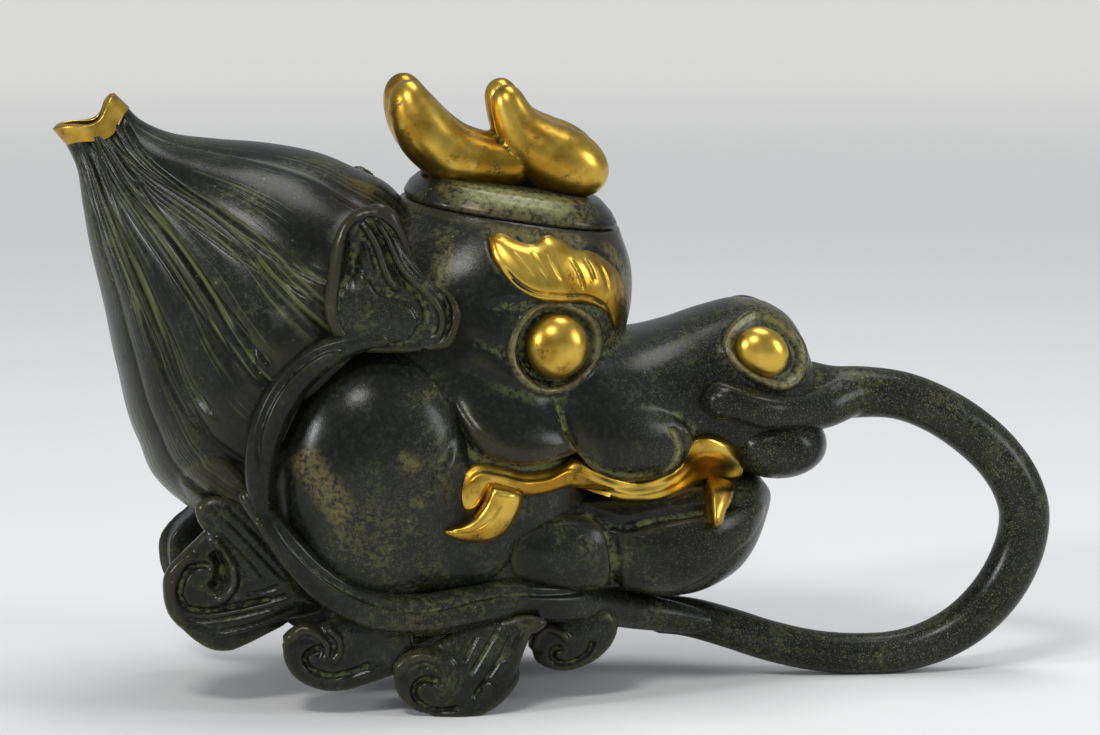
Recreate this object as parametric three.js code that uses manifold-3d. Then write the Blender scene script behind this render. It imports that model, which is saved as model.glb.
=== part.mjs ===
// Bronze pouring vessel in the form of a horned beast head, facing +X, with its spout at -X.
// Millimetres, +Z up, origin on the floor under the middle of the object, mirror plane Y = 0.
import * as THREE from "three";
import { mergeVertices } from "three/addons/utils/BufferGeometryUtils.js";
import Module from "manifold-3d";

const wasm = await Module();
wasm.setup();

// Driving sizes: the head
const HEAD_REAR = 59; // from the origin back to the rear of the head
const HEAD_FRONT = 14; // from the origin forward to the brow
const HEAD_FLOOR = 17; // underside of the head above the floor
const HEAD_CROWN = 102; // crown of the head before the lid's seat is cut
const HEAD_HALF_WIDTH = 31;
const HEAD_WALL = 3;

// Driving sizes: the fluted mane and its spout
const SPOUT_REACH = 100; // from the origin back to the tip of the lip
const SPOUT_HEIGHT = 120; // top of the lip above the floor
const MANE_HALF_WIDTH = 32;
const MANE_WALL = 4;
const LIP_WALL = 1.5;
const GROOVE_DEPTH = 1.5; // of the deepest grooves between the mane's lobes

// Driving sizes: the muzzle
const MOUTH_HEIGHT = 44; // line between the lips above the floor
const SNOUT_TOP = 77.5;
const SNOUT_REACH = 52.5; // from the origin forward to the nose
const SNOUT_ROOT = 10; // how far behind the origin the snout starts inside the head
const SNOUT_HALF_WIDTH = 25;
const JAW_REACH = 43;
const JAW_ROOT = 22;
const JAW_FLOOR = 18;
const JAW_HALF_WIDTH = 25.5;

// Driving sizes: the lid
const LID_HALF_LENGTH = 20.8;
const LID_HALF_WIDTH = 20.2;
const LID_THICKNESS = 5.5;
const SEAT_REAR_HEIGHT = 99; // seam at the lid's rear end
const SEAT_FRONT_HEIGHT = 92.6; // seam at the lid's front end
const MOUTH_HALF_LENGTH = 15.5;
const MOUTH_HALF_WIDTH = 14;
const FLANGE_CLEARANCE = 0.4;
const FLANGE_WALL = 1.8;
const FLANGE_DROP = 3.5;
const HORN_RADIUS = 7;
const HORN_RISE = 24; // tip of the rear prong above the lid's seam
const HORN_SPREAD = 7.2; // from the middle of the lid to a horn's own middle
const LIFT_ROOM = 40; // clear height over the lid's seam

// Driving sizes: the ring handle
const LOOP_REACH = 100; // from the origin forward to the outside of the ring
const LOOP_HEIGHT = 58; // middle of the ring where it leaves the nose
const LOOP_RADIUS = 5.1;

// Driving sizes: what is set on the head
const SEAT_GAP = 0.3; // between neighbouring pieces
const CHEEK_OUT = 37.5; // half the greatest width of the object
const CHEEK_HALF_LENGTH = 22.5;
const CHEEK_HALF_HEIGHT = 26.5;
const CHEEK_BULGE = 24;
const CREST_RADIUS = 3.2;
const EAR_LENGTH = 25;
const EAR_HEIGHT = 28;
const EAR_DEPTH = 10;
const EYE_RADIUS = 5.8;
const EYE_RING_RADIUS = 1;
const BROW_LENGTH = 26;
const BROW_HEIGHT = 19;
const BROW_RELIEF = 2.6;
const NOSTRIL_RADIUS = 5;
const NOSTRIL_RING_RADIUS = 1;
const ROLL_RADIUS = 5;
const LIP_PAD_HEIGHT = 9;
const STRIP_LENGTH = 57;
const STRIP_HEIGHT = 13;
const STRIP_RELIEF = 1.9;
const FANG_LENGTH = 16;
const FANG_THICKNESS = 3.4;
const FRONT_FANG_LENGTH = 9;
const BAND_RADIUS = 3.6;
const BAND_OUT = 34;
const FOOT_THICKNESS = 9;
const CURL_RADIUS = 5.7;
const CURL_SLOT = 1.1;

// Mesh counts
const BODY_AROUND = 32;
const BODY_ALONG = 12;
const BALL_AROUND = 14;
const BALL_ALONG = 8;
const TUBE_AROUND = 8;
const LOBE_STEPS = 4;

const bronze = { color: 0x2b2a22, roughness: 0.42, metalness: 1 };
const gilt = { color: 0xc98a1e, roughness: 0.3, metalness: 1 };
const OUT = -1; // the side that is modelled; the other is its mirror image

const vessel = new THREE.Group();

// A solid of any closed three.js geometry, turned face outwards.
function solidFrom(geometry) {
  geometry.deleteAttribute("normal");
  geometry.deleteAttribute("uv");
  const merged = mergeVertices(geometry);
  const vertProperties = new Float32Array(merged.getAttribute("position").array);
  const triVerts = new Uint32Array(merged.index.array);
  const solid = new wasm.Manifold(new wasm.Mesh({ numProp: 3, vertProperties, triVerts }));
  if (solid.volume() > 0) return solid;
  return new wasm.Manifold(
    new wasm.Mesh({ numProp: 3, vertProperties, triVerts: triVerts.reverse() }),
  );
}

function geometryOf(solid) {
  const { vertProperties, triVerts } = solid.getMesh();
  const geometry = new THREE.BufferGeometry();
  geometry.setAttribute("position", new THREE.BufferAttribute(vertProperties, 3));
  geometry.setIndex(new THREE.BufferAttribute(triVerts, 1));
  geometry.computeVertexNormals();
  return geometry;
}

const together = (solids) => solids.reduce((whole, solid) => whole.add(solid));
const without = (solid, cutters) => cutters.reduce((left, cutter) => left.subtract(cutter), solid);

// The largest body of a cut solid: slivers that a cut leaves elsewhere are dropped.
function main(solid) {
  return solid.decompose().reduce((best, body) => (body.volume() > best.volume() ? body : best));
}

function addPiece(name, solid, finish) {
  const mesh = new THREE.Mesh(geometryOf(solid), new THREE.MeshStandardMaterial(finish));
  mesh.name = name;
  vessel.add(mesh);
  return mesh;
}

// The modelled side is the one nearer the viewer, the beast's right; its twin is mirrored.
function addPair(name, solid, finish) {
  const near = addPiece(name + "_right", solid, finish);
  const far = near.clone();
  far.name = name + "_left";
  far.scale.y = -1;
  vessel.add(far);
}

// Smooth values between the rows of a table whose first column runs from 0 to 1.
function smooth(rows) {
  const width = rows[0].length - 1;
  const times = rows.map((row) => row[0]);
  const values = rows.flatMap((row) => row.slice(1));
  const curve = new THREE.CubicInterpolant(times, values, width, new Float32Array(width));
  return (way) => Array.from(curve.evaluate(THREE.MathUtils.clamp(way, 0, 1)));
}

// A closed body whose skin and middle line are given along its way.
function loft(around, along, skin, core) {
  const barrel = new THREE.CylinderGeometry(1, 1, 1, around, along);
  const spots = barrel.getAttribute("position");
  const spot = new THREE.Vector3();
  for (let i = 0; i < spots.count; i++) {
    spot.fromBufferAttribute(spots, i);
    const way = 1 / 2 - spot.y;
    const onSkin = Math.hypot(spot.x, spot.z) > 1 / 2;
    const point = onSkin ? skin(Math.atan2(spot.x, spot.z), way) : core(way);
    spots.setXYZ(i, point.x, point.y, point.z);
  }
  return solidFrom(barrel);
}

// A round-cornered ring: square-ish above a power of 2.
function ringPoint(turn, power) {
  const u = Math.cos(turn);
  const v = Math.sin(turn);
  return [Math.sign(u) * Math.abs(u) ** (2 / power), Math.sign(v) * Math.abs(v) ** (2 / power)];
}

function ellipsoid(centre, radii) {
  const ball = new THREE.SphereGeometry(1, BALL_AROUND, BALL_ALONG);
  ball.scale(radii.x, radii.y, radii.z);
  ball.translate(centre.x, centre.y, centre.z);
  return solidFrom(ball);
}

// A tube along a smooth curve whose radius follows a table of shares.
function tube(points, radius, radiusShares, steps, grow = 0, around = TUBE_AROUND) {
  const curve = new THREE.CatmullRomCurve3(points);
  const radiusAt = smooth(radiusShares);
  const side = new THREE.Vector3(0, 1, 0);
  const middle = (way) => {
    const point = curve.getPointAt(way);
    if (way === 0) point.addScaledVector(curve.getTangentAt(0), -grow);
    if (way === 1) point.addScaledVector(curve.getTangentAt(1), grow);
    return point;
  };
  const skin = (turn, way) => {
    const size = radius * radiusAt(way)[0];
    const tangent = curve.getTangentAt(way);
    const up = new THREE.Vector3().crossVectors(side, tangent).normalize();
    const out = new THREE.Vector3().crossVectors(tangent, up).normalize();
    return middle(way)
      .addScaledVector(up, Math.cos(turn) * (size + grow))
      .addScaledVector(out, Math.sin(turn) * (size + grow));
  };
  return loft(around, steps, skin, middle);
}

// An outline in the XZ plane, extruded across the near side from y = from to y = to.
function slab(outline, from, to) {
  const shape = new THREE.Shape(outline.map(([x, z]) => new THREE.Vector2(x, z)));
  const plate = new THREE.ExtrudeGeometry(shape, { depth: to - from, bevelEnabled: false });
  plate.rotateX(Math.PI / 2);
  plate.translate(0, OUT * from, 0);
  return solidFrom(plate);
}

// Points of an outline given as shares of a length and a height from a corner.
function outlineOf(shares, corner, length, height, steps) {
  const points = shares.map(
    ([u, w]) => new THREE.Vector2(corner[0] + u * length, corner[1] + w * height),
  );
  if (!steps) return points.map((point) => [point.x, point.y]);
  const closed = new THREE.CatmullRomCurve3(
    points.map((point) => new THREE.Vector3(point.x, point.y, 0)),
    true,
  );
  return closed
    .getPoints(steps)
    .slice(0, steps)
    .map((point) => [point.x, point.y]);
}

// The head: level sections, each a height with its rear, front and half width.
const HEAD_LEVEL_SHARES = [
  [0, 0.72, -0.2, 0.45],
  [0.06, 0.86, 0.3, 0.79],
  [0.2, 0.96, 0.55, 0.95],
  [0.37, 1, 0.57, 1],
  [0.51, 0.97, 0.64, 0.95],
  [0.62, 0.88, 0.86, 0.91],
  [0.72, 0.78, 1, 0.89],
  [0.81, 0.7, 0.98, 0.84],
  [0.88, 0.63, 0.84, 0.75],
  [0.94, 0.56, 0.72, 0.65],
  [1, 0.54, 0.6, 0.58],
];
const HEAD_POWER = 2.3;
const headLevel = smooth(HEAD_LEVEL_SHARES);
const headX = (share) => -HEAD_REAR + share * (HEAD_REAR + HEAD_FRONT);
const headZ = (share) => HEAD_FLOOR + share * (HEAD_CROWN - HEAD_FLOOR);

function headSection(way, grow) {
  const [rear, front, half] = headLevel(way);
  const low = -HEAD_REAR * rear;
  const high = HEAD_FRONT * front;
  return {
    middle: (low + high) / 2,
    length: (high - low) / 2 + grow,
    width: HEAD_HALF_WIDTH * half + grow,
    height: THREE.MathUtils.lerp(HEAD_FLOOR - grow, HEAD_CROWN + grow, way),
  };
}

function headForm(grow, around = BODY_AROUND, along = BODY_ALONG) {
  const skin = (turn, way) => {
    const section = headSection(way, grow);
    const [u, v] = ringPoint(turn, HEAD_POWER);
    return new THREE.Vector3(
      section.middle + section.length * u,
      section.width * v,
      section.height,
    );
  };
  const core = (way) => {
    const section = headSection(way, grow);
    return new THREE.Vector3(section.middle, 0, section.height);
  };
  return loft(around, along, skin, core);
}

// The fluted mane: sections across it, each with its top and rear points and its half width.
const MANE_SECTION_SHARES = [
  [0, 0.855, 0.977, 0.976, 0.918, 0.17],
  [0.1, 0.828, 0.955, 0.955, 0.878, 0.25],
  [0.22, 0.77, 0.933, 0.944, 0.815, 0.38],
  [0.36, 0.68, 0.922, 0.93, 0.742, 0.54],
  [0.5, 0.58, 0.914, 0.907, 0.655, 0.7],
  [0.64, 0.48, 0.897, 0.883, 0.55, 0.84],
  [0.78, 0.4, 0.868, 0.845, 0.43, 0.95],
  [0.9, 0.33, 0.835, 0.765, 0.325, 1],
  [1, 0.26, 0.76, 0.5, 0.18, 0.9],
];
const maneSection = smooth(MANE_SECTION_SHARES);
const MANE_ALONG = 9;

const maneFrame = (way) => frameOf(maneSection(way));

function frameOf([topX, topZ, rearX, rearZ, half]) {
  const top = new THREE.Vector3(-SPOUT_REACH * topX, 0, SPOUT_HEIGHT * topZ);
  const rear = new THREE.Vector3(-SPOUT_REACH * rearX, 0, SPOUT_HEIGHT * rearZ);
  const middle = new THREE.Vector3().addVectors(top, rear).divideScalar(2);
  const toTop = new THREE.Vector3().subVectors(top, rear).normalize();
  return { middle, span: top.distanceTo(rear) / 2, toTop, width: MANE_HALF_WIDTH * half };
}

// A point of a section's rim, at a turn from its top and some way out of it.
function rimPoint(frame, turn, out) {
  return frame.middle
    .clone()
    .addScaledVector(frame.toTop, Math.cos(turn) * (frame.span + out))
    .add(new THREE.Vector3(0, Math.sin(turn) * (frame.width + out), 0));
}

// The grooves of one side: turn from the top as a share of half a turn, and share of the depth.
const GROOVE_SHARES = [
  [0.17, 0.35],
  [0.41, 1],
  [0.54, 1],
  [0.7, 1],
  [0.82, 0.5],
];
const GROOVE_RUN_IN_SHARE = 0.2; // share of the mane, from the lip, over which they deepen
const GROOVE_RUN_OUT_SHARE = 0.25; // and towards the root, over which they fade
const grooves = [
  ...GROOVE_SHARES.map(([turn, depth]) => [turn * Math.PI, depth]),
  ...GROOVE_SHARES.map(([turn, depth]) => [(2 - turn) * Math.PI, depth]).reverse(),
];

// A place on a lobe: its turn from the top, and how far it lies under the lobes' crests.
function onLobe(round) {
  const share = THREE.MathUtils.euclideanModulo(round, 2 * Math.PI) / (2 * Math.PI);
  const reach = share * grooves.length;
  const lobe = Math.floor(reach);
  const part = reach - lobe;
  const [from, fromDepth] = grooves[lobe % grooves.length];
  const [next, toDepth] = grooves[(lobe + 1) % grooves.length];
  const to = next > from ? next : next + 2 * Math.PI;
  const depth = GROOVE_DEPTH * THREE.MathUtils.lerp(fromDepth, toDepth, part);
  return {
    turn: THREE.MathUtils.lerp(from, to, part),
    drop: depth * (1 - Math.sqrt(Math.sin(Math.PI * part))),
  };
}

function maneForm(grow) {
  const middle = (way) => maneFrame(way).middle;
  const skin = (round, way) => {
    const { turn, drop } = onLobe(round);
    const runIn = THREE.MathUtils.smoothstep(way, 0, GROOVE_RUN_IN_SHARE);
    const runOut = THREE.MathUtils.smoothstep(1 - way, 0, GROOVE_RUN_OUT_SHARE);
    return rimPoint(maneFrame(way), turn, grow - drop * runIn * runOut);
  };
  return loft(grooves.length * LOBE_STEPS, MANE_ALONG, skin, middle);
}

// The way through the mane: its wall thickens from the lip to the root.
const CHANNEL_AROUND = 14;
const CHANNEL_ALONG = 6;
const CHANNEL_FROM_SHARE = -0.2; // it starts outside the lip
const CHANNEL_TO_SHARE = 1.12; // and ends inside the head
const CHANNEL_LEAD_SHARE = 0.05; // the stretch that gives its ends their direction
const CHANNEL_LEAD_REACH = 8; // how many such stretches the ends run straight on
const THIN_WALL_SHARE = 0.33; // the stretch over which the wall thickens

function channelForm() {
  const frameAt = (way) => {
    const share = THREE.MathUtils.lerp(CHANNEL_FROM_SHARE, CHANNEL_TO_SHARE, way);
    const inside = THREE.MathUtils.clamp(share, 0, 1);
    const frame = maneFrame(inside);
    const near = maneFrame(inside === 0 ? CHANNEL_LEAD_SHARE : 1 - CHANNEL_LEAD_SHARE).middle;
    const lead = frame.middle.clone().sub(near);
    frame.middle.addScaledVector(lead, CHANNEL_LEAD_REACH * Math.abs(share - inside));
    frame.wall = THREE.MathUtils.mapLinear(
      Math.min(THIN_WALL_SHARE, inside),
      0,
      THIN_WALL_SHARE,
      LIP_WALL,
      MANE_WALL,
    );
    return frame;
  };
  const skin = (turn, way) => {
    const frame = frameAt(way);
    return rimPoint(frame, turn, -frame.wall);
  };
  return loft(CHANNEL_AROUND, CHANNEL_ALONG, skin, (way) => frameAt(way).middle);
}

// The snout and the lower jaw: sections across the muzzle.
const SNOUT_SECTION_SHARES = [
  [0, 0.9, 0.06, 1],
  [0.24, 0.87, 0.01, 0.98],
  [0.37, 0.83, 0, 0.9],
  [0.5, 0.88, 0, 0.78],
  [0.62, 0.955, 0, 0.7],
  [0.75, 1, 0, 0.68],
  [0.86, 0.94, 0.02, 0.6],
  [0.94, 0.81, 0.06, 0.44],
  [1, 0.63, 0.21, 0.2],
];
const JAW_SECTION_SHARES = [
  [0, 0, 0.85, 1],
  [0.2, 0, 0.97, 1.1],
  [0.36, 0, 1, 1.07],
  [0.5, 0, 0.95, 0.91],
  [0.65, 0, 1, 0.89],
  [0.8, 0, 0.93, 0.77],
  [0.9, 0, 0.77, 0.58],
  [0.96, 0.02, 0.6, 0.42],
  [1, 0.1, 0.4, 0.22],
];
const MUZZLE_POWER = 2.3;
const MUZZLE_AROUND = 20;
const MUZZLE_ALONG = 10;
const snoutSection = smooth(SNOUT_SECTION_SHARES);
const jawSection = smooth(JAW_SECTION_SHARES);

function snoutAt(way) {
  const [top, bottom, half] = snoutSection(way);
  const height = SNOUT_TOP - MOUTH_HEIGHT;
  return {
    x: THREE.MathUtils.lerp(-SNOUT_ROOT, SNOUT_REACH, way),
    low: MOUTH_HEIGHT + height * bottom,
    high: MOUTH_HEIGHT + height * top,
    width: SNOUT_HALF_WIDTH * half,
  };
}

function jawAt(way) {
  const [top, bottom, half] = jawSection(way);
  const lip = MOUTH_HEIGHT - SEAT_GAP;
  const depth = lip - JAW_FLOOR;
  return {
    x: THREE.MathUtils.lerp(-JAW_ROOT, JAW_REACH, way),
    low: lip - depth * bottom,
    high: lip - depth * top,
    width: JAW_HALF_WIDTH * half,
  };
}

function muzzleForm(at, grow) {
  const reach = (way) => at(way).x + (way === 0 ? -grow : 0) + (way === 1 ? grow : 0);
  const middle = (way) => {
    const section = at(way);
    return new THREE.Vector3(reach(way), 0, (section.low + section.high) / 2);
  };
  const skin = (turn, way) => {
    const section = at(way);
    const [u, v] = ringPoint(turn, MUZZLE_POWER);
    const centre = middle(way);
    centre.z += u * ((section.high - section.low) / 2 + grow);
    centre.y += v * (section.width + grow);
    return centre;
  };
  return loft(MUZZLE_AROUND, MUZZLE_ALONG, skin, middle);
}

const snoutForm = (grow) => muzzleForm(snoutAt, grow);
const jawForm = (grow) => muzzleForm(jawAt, grow);

// Half the width of the head, snout and jaw together at a place on the side.
function halfWidthAt(x, z) {
  const rest = (share, power) => Math.max(0, 1 - Math.abs(share) ** power) ** (1 / power);
  const level = headSection((z - HEAD_FLOOR) / (HEAD_CROWN - HEAD_FLOOR), 0);
  const widths = [level.width * rest((x - level.middle) / level.length, HEAD_POWER)];
  for (const [at, low, high] of [
    [snoutAt, -SNOUT_ROOT, SNOUT_REACH],
    [jawAt, -JAW_ROOT, JAW_REACH],
  ]) {
    const way = (x - low) / (high - low);
    if (way < 0 || way > 1) continue;
    const section = at(way);
    const share = (2 * z - section.low - section.high) / (section.high - section.low);
    widths.push(section.width * rest(share, MUZZLE_POWER));
  }
  return Math.max(...widths);
}

// The lid's seat: a plane that falls from rear to front, and upright walls under it.
const LID_MIDDLE_SHARE = 0.672;
const LID_POWER = 2.6;
const LID_AROUND = 24;
const lidX = headX(LID_MIDDLE_SHARE);
const seatAt = (x) =>
  THREE.MathUtils.mapLinear(
    x,
    lidX - LID_HALF_LENGTH,
    lidX + LID_HALF_LENGTH,
    SEAT_REAR_HEIGHT,
    SEAT_FRONT_HEIGHT,
  );

// An upright oval wall round the lid's middle, from one height over the seat to another.
function oval(length, width, under, over) {
  const skin = (turn, way) => {
    const [u, v] = ringPoint(turn, LID_POWER);
    const x = lidX + length * u;
    const height = seatAt(x) + THREE.MathUtils.lerp(under, over, way);
    return new THREE.Vector3(x, width * v, height);
  };
  const core = (way) =>
    new THREE.Vector3(lidX, 0, seatAt(lidX) + THREE.MathUtils.lerp(under, over, way));
  return loft(LID_AROUND, 1, skin, core);
}

const lidRoom = oval(
  LID_HALF_LENGTH + SEAT_GAP,
  LID_HALF_WIDTH + SEAT_GAP,
  -SEAT_GAP,
  LIFT_ROOM,
);
const crownRoom = oval(HEAD_REAR, HEAD_REAR, -SEAT_GAP, LIFT_ROOM);
const MOUTH_DEPTH_SHARE = 4; // the mouth is cut this many walls deep under the seat
// The head keeps a bridge between its mouth and the spout, as thick as the mane's wall.
const bridgeRoom = oval(HEAD_REAR, HEAD_REAR, -MANE_WALL, LIFT_ROOM);

function buildHead() {
  const outside = headForm(0);
  const inside = headForm(-HEAD_WALL, CHANNEL_AROUND, BALL_ALONG);
  const mouth = oval(MOUTH_HALF_LENGTH, MOUTH_HALF_WIDTH, -HEAD_WALL * MOUTH_DEPTH_SHARE, LIFT_ROOM);
  const spoutWay = channelForm().subtract(bridgeRoom);
  return without(outside, [inside, mouth, crownRoom, spoutWay]);
}

function buildMane() {
  return main(without(maneForm(0), [headForm(SEAT_GAP), lidRoom, channelForm()]));
}

// The gilded lip: a short ring that carries the mane on, notched across its rim.
const LIP_SECTION_SHARES = [
  [0.858, 0.98, 0.979, 0.922, 0.175],
  [0.883, 1, 1, 0.944, 0.155],
];
const LIP_NOTCH_SHARES = [
  [0.99, 0.951],
  [0.928, 0.95],
  [0.896, 0.991],
  [0.93, 1.05],
  [1.02, 1.02],
];

function buildLip() {
  const [start, end] = LIP_SECTION_SHARES.map(frameOf);
  const frameAt = (way) => (way === 0 ? start : end);
  const skin = (turn, way) => rimPoint(frameAt(way), turn, 0);
  const ring = loft(CHANNEL_AROUND, 1, skin, (way) => frameAt(way).middle);
  const notch = slab(
    LIP_NOTCH_SHARES.map(([x, z]) => [-SPOUT_REACH * x, SPOUT_HEIGHT * z]),
    -MANE_HALF_WIDTH,
    MANE_HALF_WIDTH,
  );
  return without(ring, [channelForm(), notch]);
}

// Where a feature sits on the side of the head: shares of the head's length and height.
function sideSpot(alongShare, heightShare, lift = 0) {
  const x = headX(alongShare);
  const z = headZ(heightShare);
  return new THREE.Vector3(x, OUT * (halfWidthAt(x, z) + lift), z);
}

const faceForm = (grow) => together([headForm(grow), snoutForm(grow)]);
const mouthForm = (grow) => together([headForm(grow), snoutForm(grow), jawForm(grow)]);
const faceSeat = faceForm(SEAT_GAP);
const mouthSeat = mouthForm(SEAT_GAP);
const maneSeat = maneForm(SEAT_GAP);

// A flat plate of an outline, wrapped on the side of the head to a height over its skin.
function relief(outline, form) {
  return slab(outline, 0, CHEEK_OUT).intersect(form);
}

// The jowls
const CHEEK_ALONG_SHARE = 0.28;
const CHEEK_UP_SHARE = 0.365;
// The jowl's lower front lobe
const LOBE_ALONG_SHARE = 0.51;
const LOBE_UP_SHARE = 0.205;
const LOBE_OUT_SHARE = 1.37;
const LOBE_SIZE_SHARES = new THREE.Vector3(0.64, 0.59, 0.47);

function cheekForm(grow) {
  const centre = new THREE.Vector3(
    headX(CHEEK_ALONG_SHARE),
    OUT * (CHEEK_OUT - CHEEK_BULGE),
    headZ(CHEEK_UP_SHARE),
  );
  const radii = new THREE.Vector3(CHEEK_HALF_LENGTH, CHEEK_BULGE, CHEEK_HALF_HEIGHT);
  const lobeCentre = new THREE.Vector3(
    headX(LOBE_ALONG_SHARE),
    OUT * (CHEEK_OUT - CHEEK_BULGE) * LOBE_OUT_SHARE,
    headZ(LOBE_UP_SHARE),
  );
  const lobeRadii = radii.clone().multiply(LOBE_SIZE_SHARES);
  return together([
    ellipsoid(centre, radii.addScalar(grow)),
    ellipsoid(lobeCentre, lobeRadii.addScalar(grow)),
  ]);
}

// The rolled rim behind a jowl follows the jowl's outline, a little way out.
const CREST_START = THREE.MathUtils.degToRad(78);
const CREST_END = THREE.MathUtils.degToRad(205);
const CREST_POINTS = 8;
const CREST_OUT_SHARE = 1.02;
const CREST_RADIUS_SHARES = [
  [0, 0.5],
  [0.3, 1],
  [0.7, 1],
  [1, 0.35],
];

function crestForm(grow) {
  const points = [];
  for (let i = 0; i <= CREST_POINTS; i++) {
    const angle = THREE.MathUtils.lerp(CREST_START, CREST_END, i / CREST_POINTS);
    const x = headX(CHEEK_ALONG_SHARE) + CREST_OUT_SHARE * CHEEK_HALF_LENGTH * Math.cos(angle);
    const z = headZ(CHEEK_UP_SHARE) + CREST_OUT_SHARE * CHEEK_HALF_HEIGHT * Math.sin(angle);
    points.push(new THREE.Vector3(x, OUT * (MANE_HALF_WIDTH - SEAT_GAP), z));
  }
  return tube(points, CREST_RADIUS, CREST_RADIUS_SHARES, CREST_POINTS, grow);
}

// The ears: a leaf with a hollow that faces out, and a round lobe at its foot.
const EAR_FOOT_SHARES = { along: 0.33, up: 0.67 };
const EAR_SECTION_SHARES = [
  [0, 0.75, 0.6, 0],
  [0.15, 1, 1, 0],
  [0.4, 0.92, 0.95, -0.05],
  [0.65, 0.66, 0.75, -0.13],
  [0.85, 0.36, 0.5, -0.18],
  [1, 0.06, 0.1, -0.2],
];
const EAR_LIFT_SHARE = 0.25; // how far its middle stands off the head
const EAR_LEAN_SHARE = 0.35; // how far the tip leans in, as a share of the ear's depth
const EAR_AROUND = 10;
const EAR_ALONG = 5;
const EAR_HOLLOW_SHARES = { low: 0.2, high: 0.93, side: 0.62, depth: 0.62 };
const EAR_HOLLOW_END_SHARE = 0.08; // rounds off the hollow's two ends
const LOBE_SHARES = { along: 0.24, up: 0.14, length: 0.26, depth: 0.42, height: 0.18 };
const earSection = smooth(EAR_SECTION_SHARES);

function earForm() {
  const foot = sideSpot(EAR_FOOT_SHARES.along, EAR_FOOT_SHARES.up, EAR_DEPTH * EAR_LIFT_SHARE);
  const middle = (way) => {
    const [, , shift] = earSection(way);
    const lean = -OUT * EAR_DEPTH * EAR_LEAN_SHARE * way;
    return foot.clone().add(new THREE.Vector3(EAR_LENGTH * shift, lean, EAR_HEIGHT * way));
  };
  const skin = (turn, way) => {
    const [length, depth] = earSection(way);
    const point = middle(way);
    point.x += Math.cos(turn) * (EAR_LENGTH / 2) * length;
    point.y += Math.sin(turn) * (EAR_DEPTH / 2) * depth;
    return point;
  };
  const { low, high } = EAR_HOLLOW_SHARES;
  const hollowAt = (way) => THREE.MathUtils.lerp(low, high, way);
  const outward = new THREE.Vector3(0, (OUT * EAR_DEPTH) / 2, 0);
  const hollowMiddle = (way) => middle(hollowAt(way)).add(outward);
  const hollowSkin = (turn, way) => {
    const [length, depth] = earSection(hollowAt(way));
    const inset = THREE.MathUtils.lerp(EAR_HOLLOW_END_SHARE, 1 - EAR_HOLLOW_END_SHARE, way);
    const taper = Math.sin(Math.PI * inset) ** (1 / 2);
    const point = hollowMiddle(way);
    point.x += Math.cos(turn) * (EAR_LENGTH / 2) * length * EAR_HOLLOW_SHARES.side * taper;
    point.y += Math.sin(turn) * (EAR_DEPTH / 2) * depth * EAR_HOLLOW_SHARES.depth * taper;
    return point;
  };
  const leaf = loft(EAR_AROUND, EAR_ALONG, skin, middle);
  const hollow = loft(EAR_AROUND, EAR_ALONG, hollowSkin, hollowMiddle);
  const lobe = ellipsoid(
    foot.clone().add(
      new THREE.Vector3(
        EAR_LENGTH * LOBE_SHARES.along,
        OUT * EAR_DEPTH * LOBE_SHARES.depth,
        EAR_HEIGHT * LOBE_SHARES.up,
      ),
    ),
    new THREE.Vector3(
      EAR_LENGTH * LOBE_SHARES.length,
      EAR_DEPTH * LOBE_SHARES.depth,
      EAR_HEIGHT * LOBE_SHARES.height,
    ),
  );
  return leaf.subtract(hollow).add(lobe);
}

// A round eye or nostril: a ball in a ring, turned to face out of the head.
const RING_AROUND = 16;
const RING_SIDES = 6;

function ring(centre, radius, thickness, facing, stretch) {
  const torus = new THREE.TorusGeometry(radius, thickness, RING_SIDES, RING_AROUND);
  torus.scale(1, stretch, 1);
  torus.applyQuaternion(
    new THREE.Quaternion().setFromUnitVectors(new THREE.Vector3(0, 0, 1), facing),
  );
  torus.translate(centre.x, centre.y, centre.z);
  return solidFrom(torus);
}

const EYE_SHARES = { along: 0.757, up: 0.65 };
const EYE_FACING = new THREE.Vector3(0.3, OUT, 0).normalize();
const EYE_STRETCH = 1.07;
const EYE_DEPTH_SHARE = 0.8;
const NOSTRIL_FACING = new THREE.Vector3(0.1, OUT, 0.3).normalize();
const NOSTRIL_SHARES = { along: 0.775, up: 0.74 };
const NOSTRIL_STRETCH = 1.04;

function ballAt(centre, radius, stretch, grow) {
  const radii = new THREE.Vector3(radius, radius * EYE_DEPTH_SHARE, radius * stretch);
  return ellipsoid(centre, radii.addScalar(grow));
}

const eyeSpot = sideSpot(EYE_SHARES.along, EYE_SHARES.up);
const eyeRingForm = ring(
  eyeSpot,
  EYE_RADIUS + SEAT_GAP + EYE_RING_RADIUS,
  EYE_RING_RADIUS,
  EYE_FACING,
  EYE_STRETCH,
);
const nostrilX = THREE.MathUtils.lerp(-SNOUT_ROOT, SNOUT_REACH, NOSTRIL_SHARES.along);
const nostrilZ = THREE.MathUtils.lerp(MOUTH_HEIGHT, SNOUT_TOP, NOSTRIL_SHARES.up);
const nostrilSpot = new THREE.Vector3(
  nostrilX,
  OUT * (halfWidthAt(nostrilX, nostrilZ) - NOSTRIL_RING_RADIUS / 2),
  nostrilZ,
);
const nostrilRingForm = ring(
  nostrilSpot,
  NOSTRIL_RADIUS + SEAT_GAP + NOSTRIL_RING_RADIUS,
  NOSTRIL_RING_RADIUS,
  NOSTRIL_FACING,
  NOSTRIL_STRETCH,
);

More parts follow.
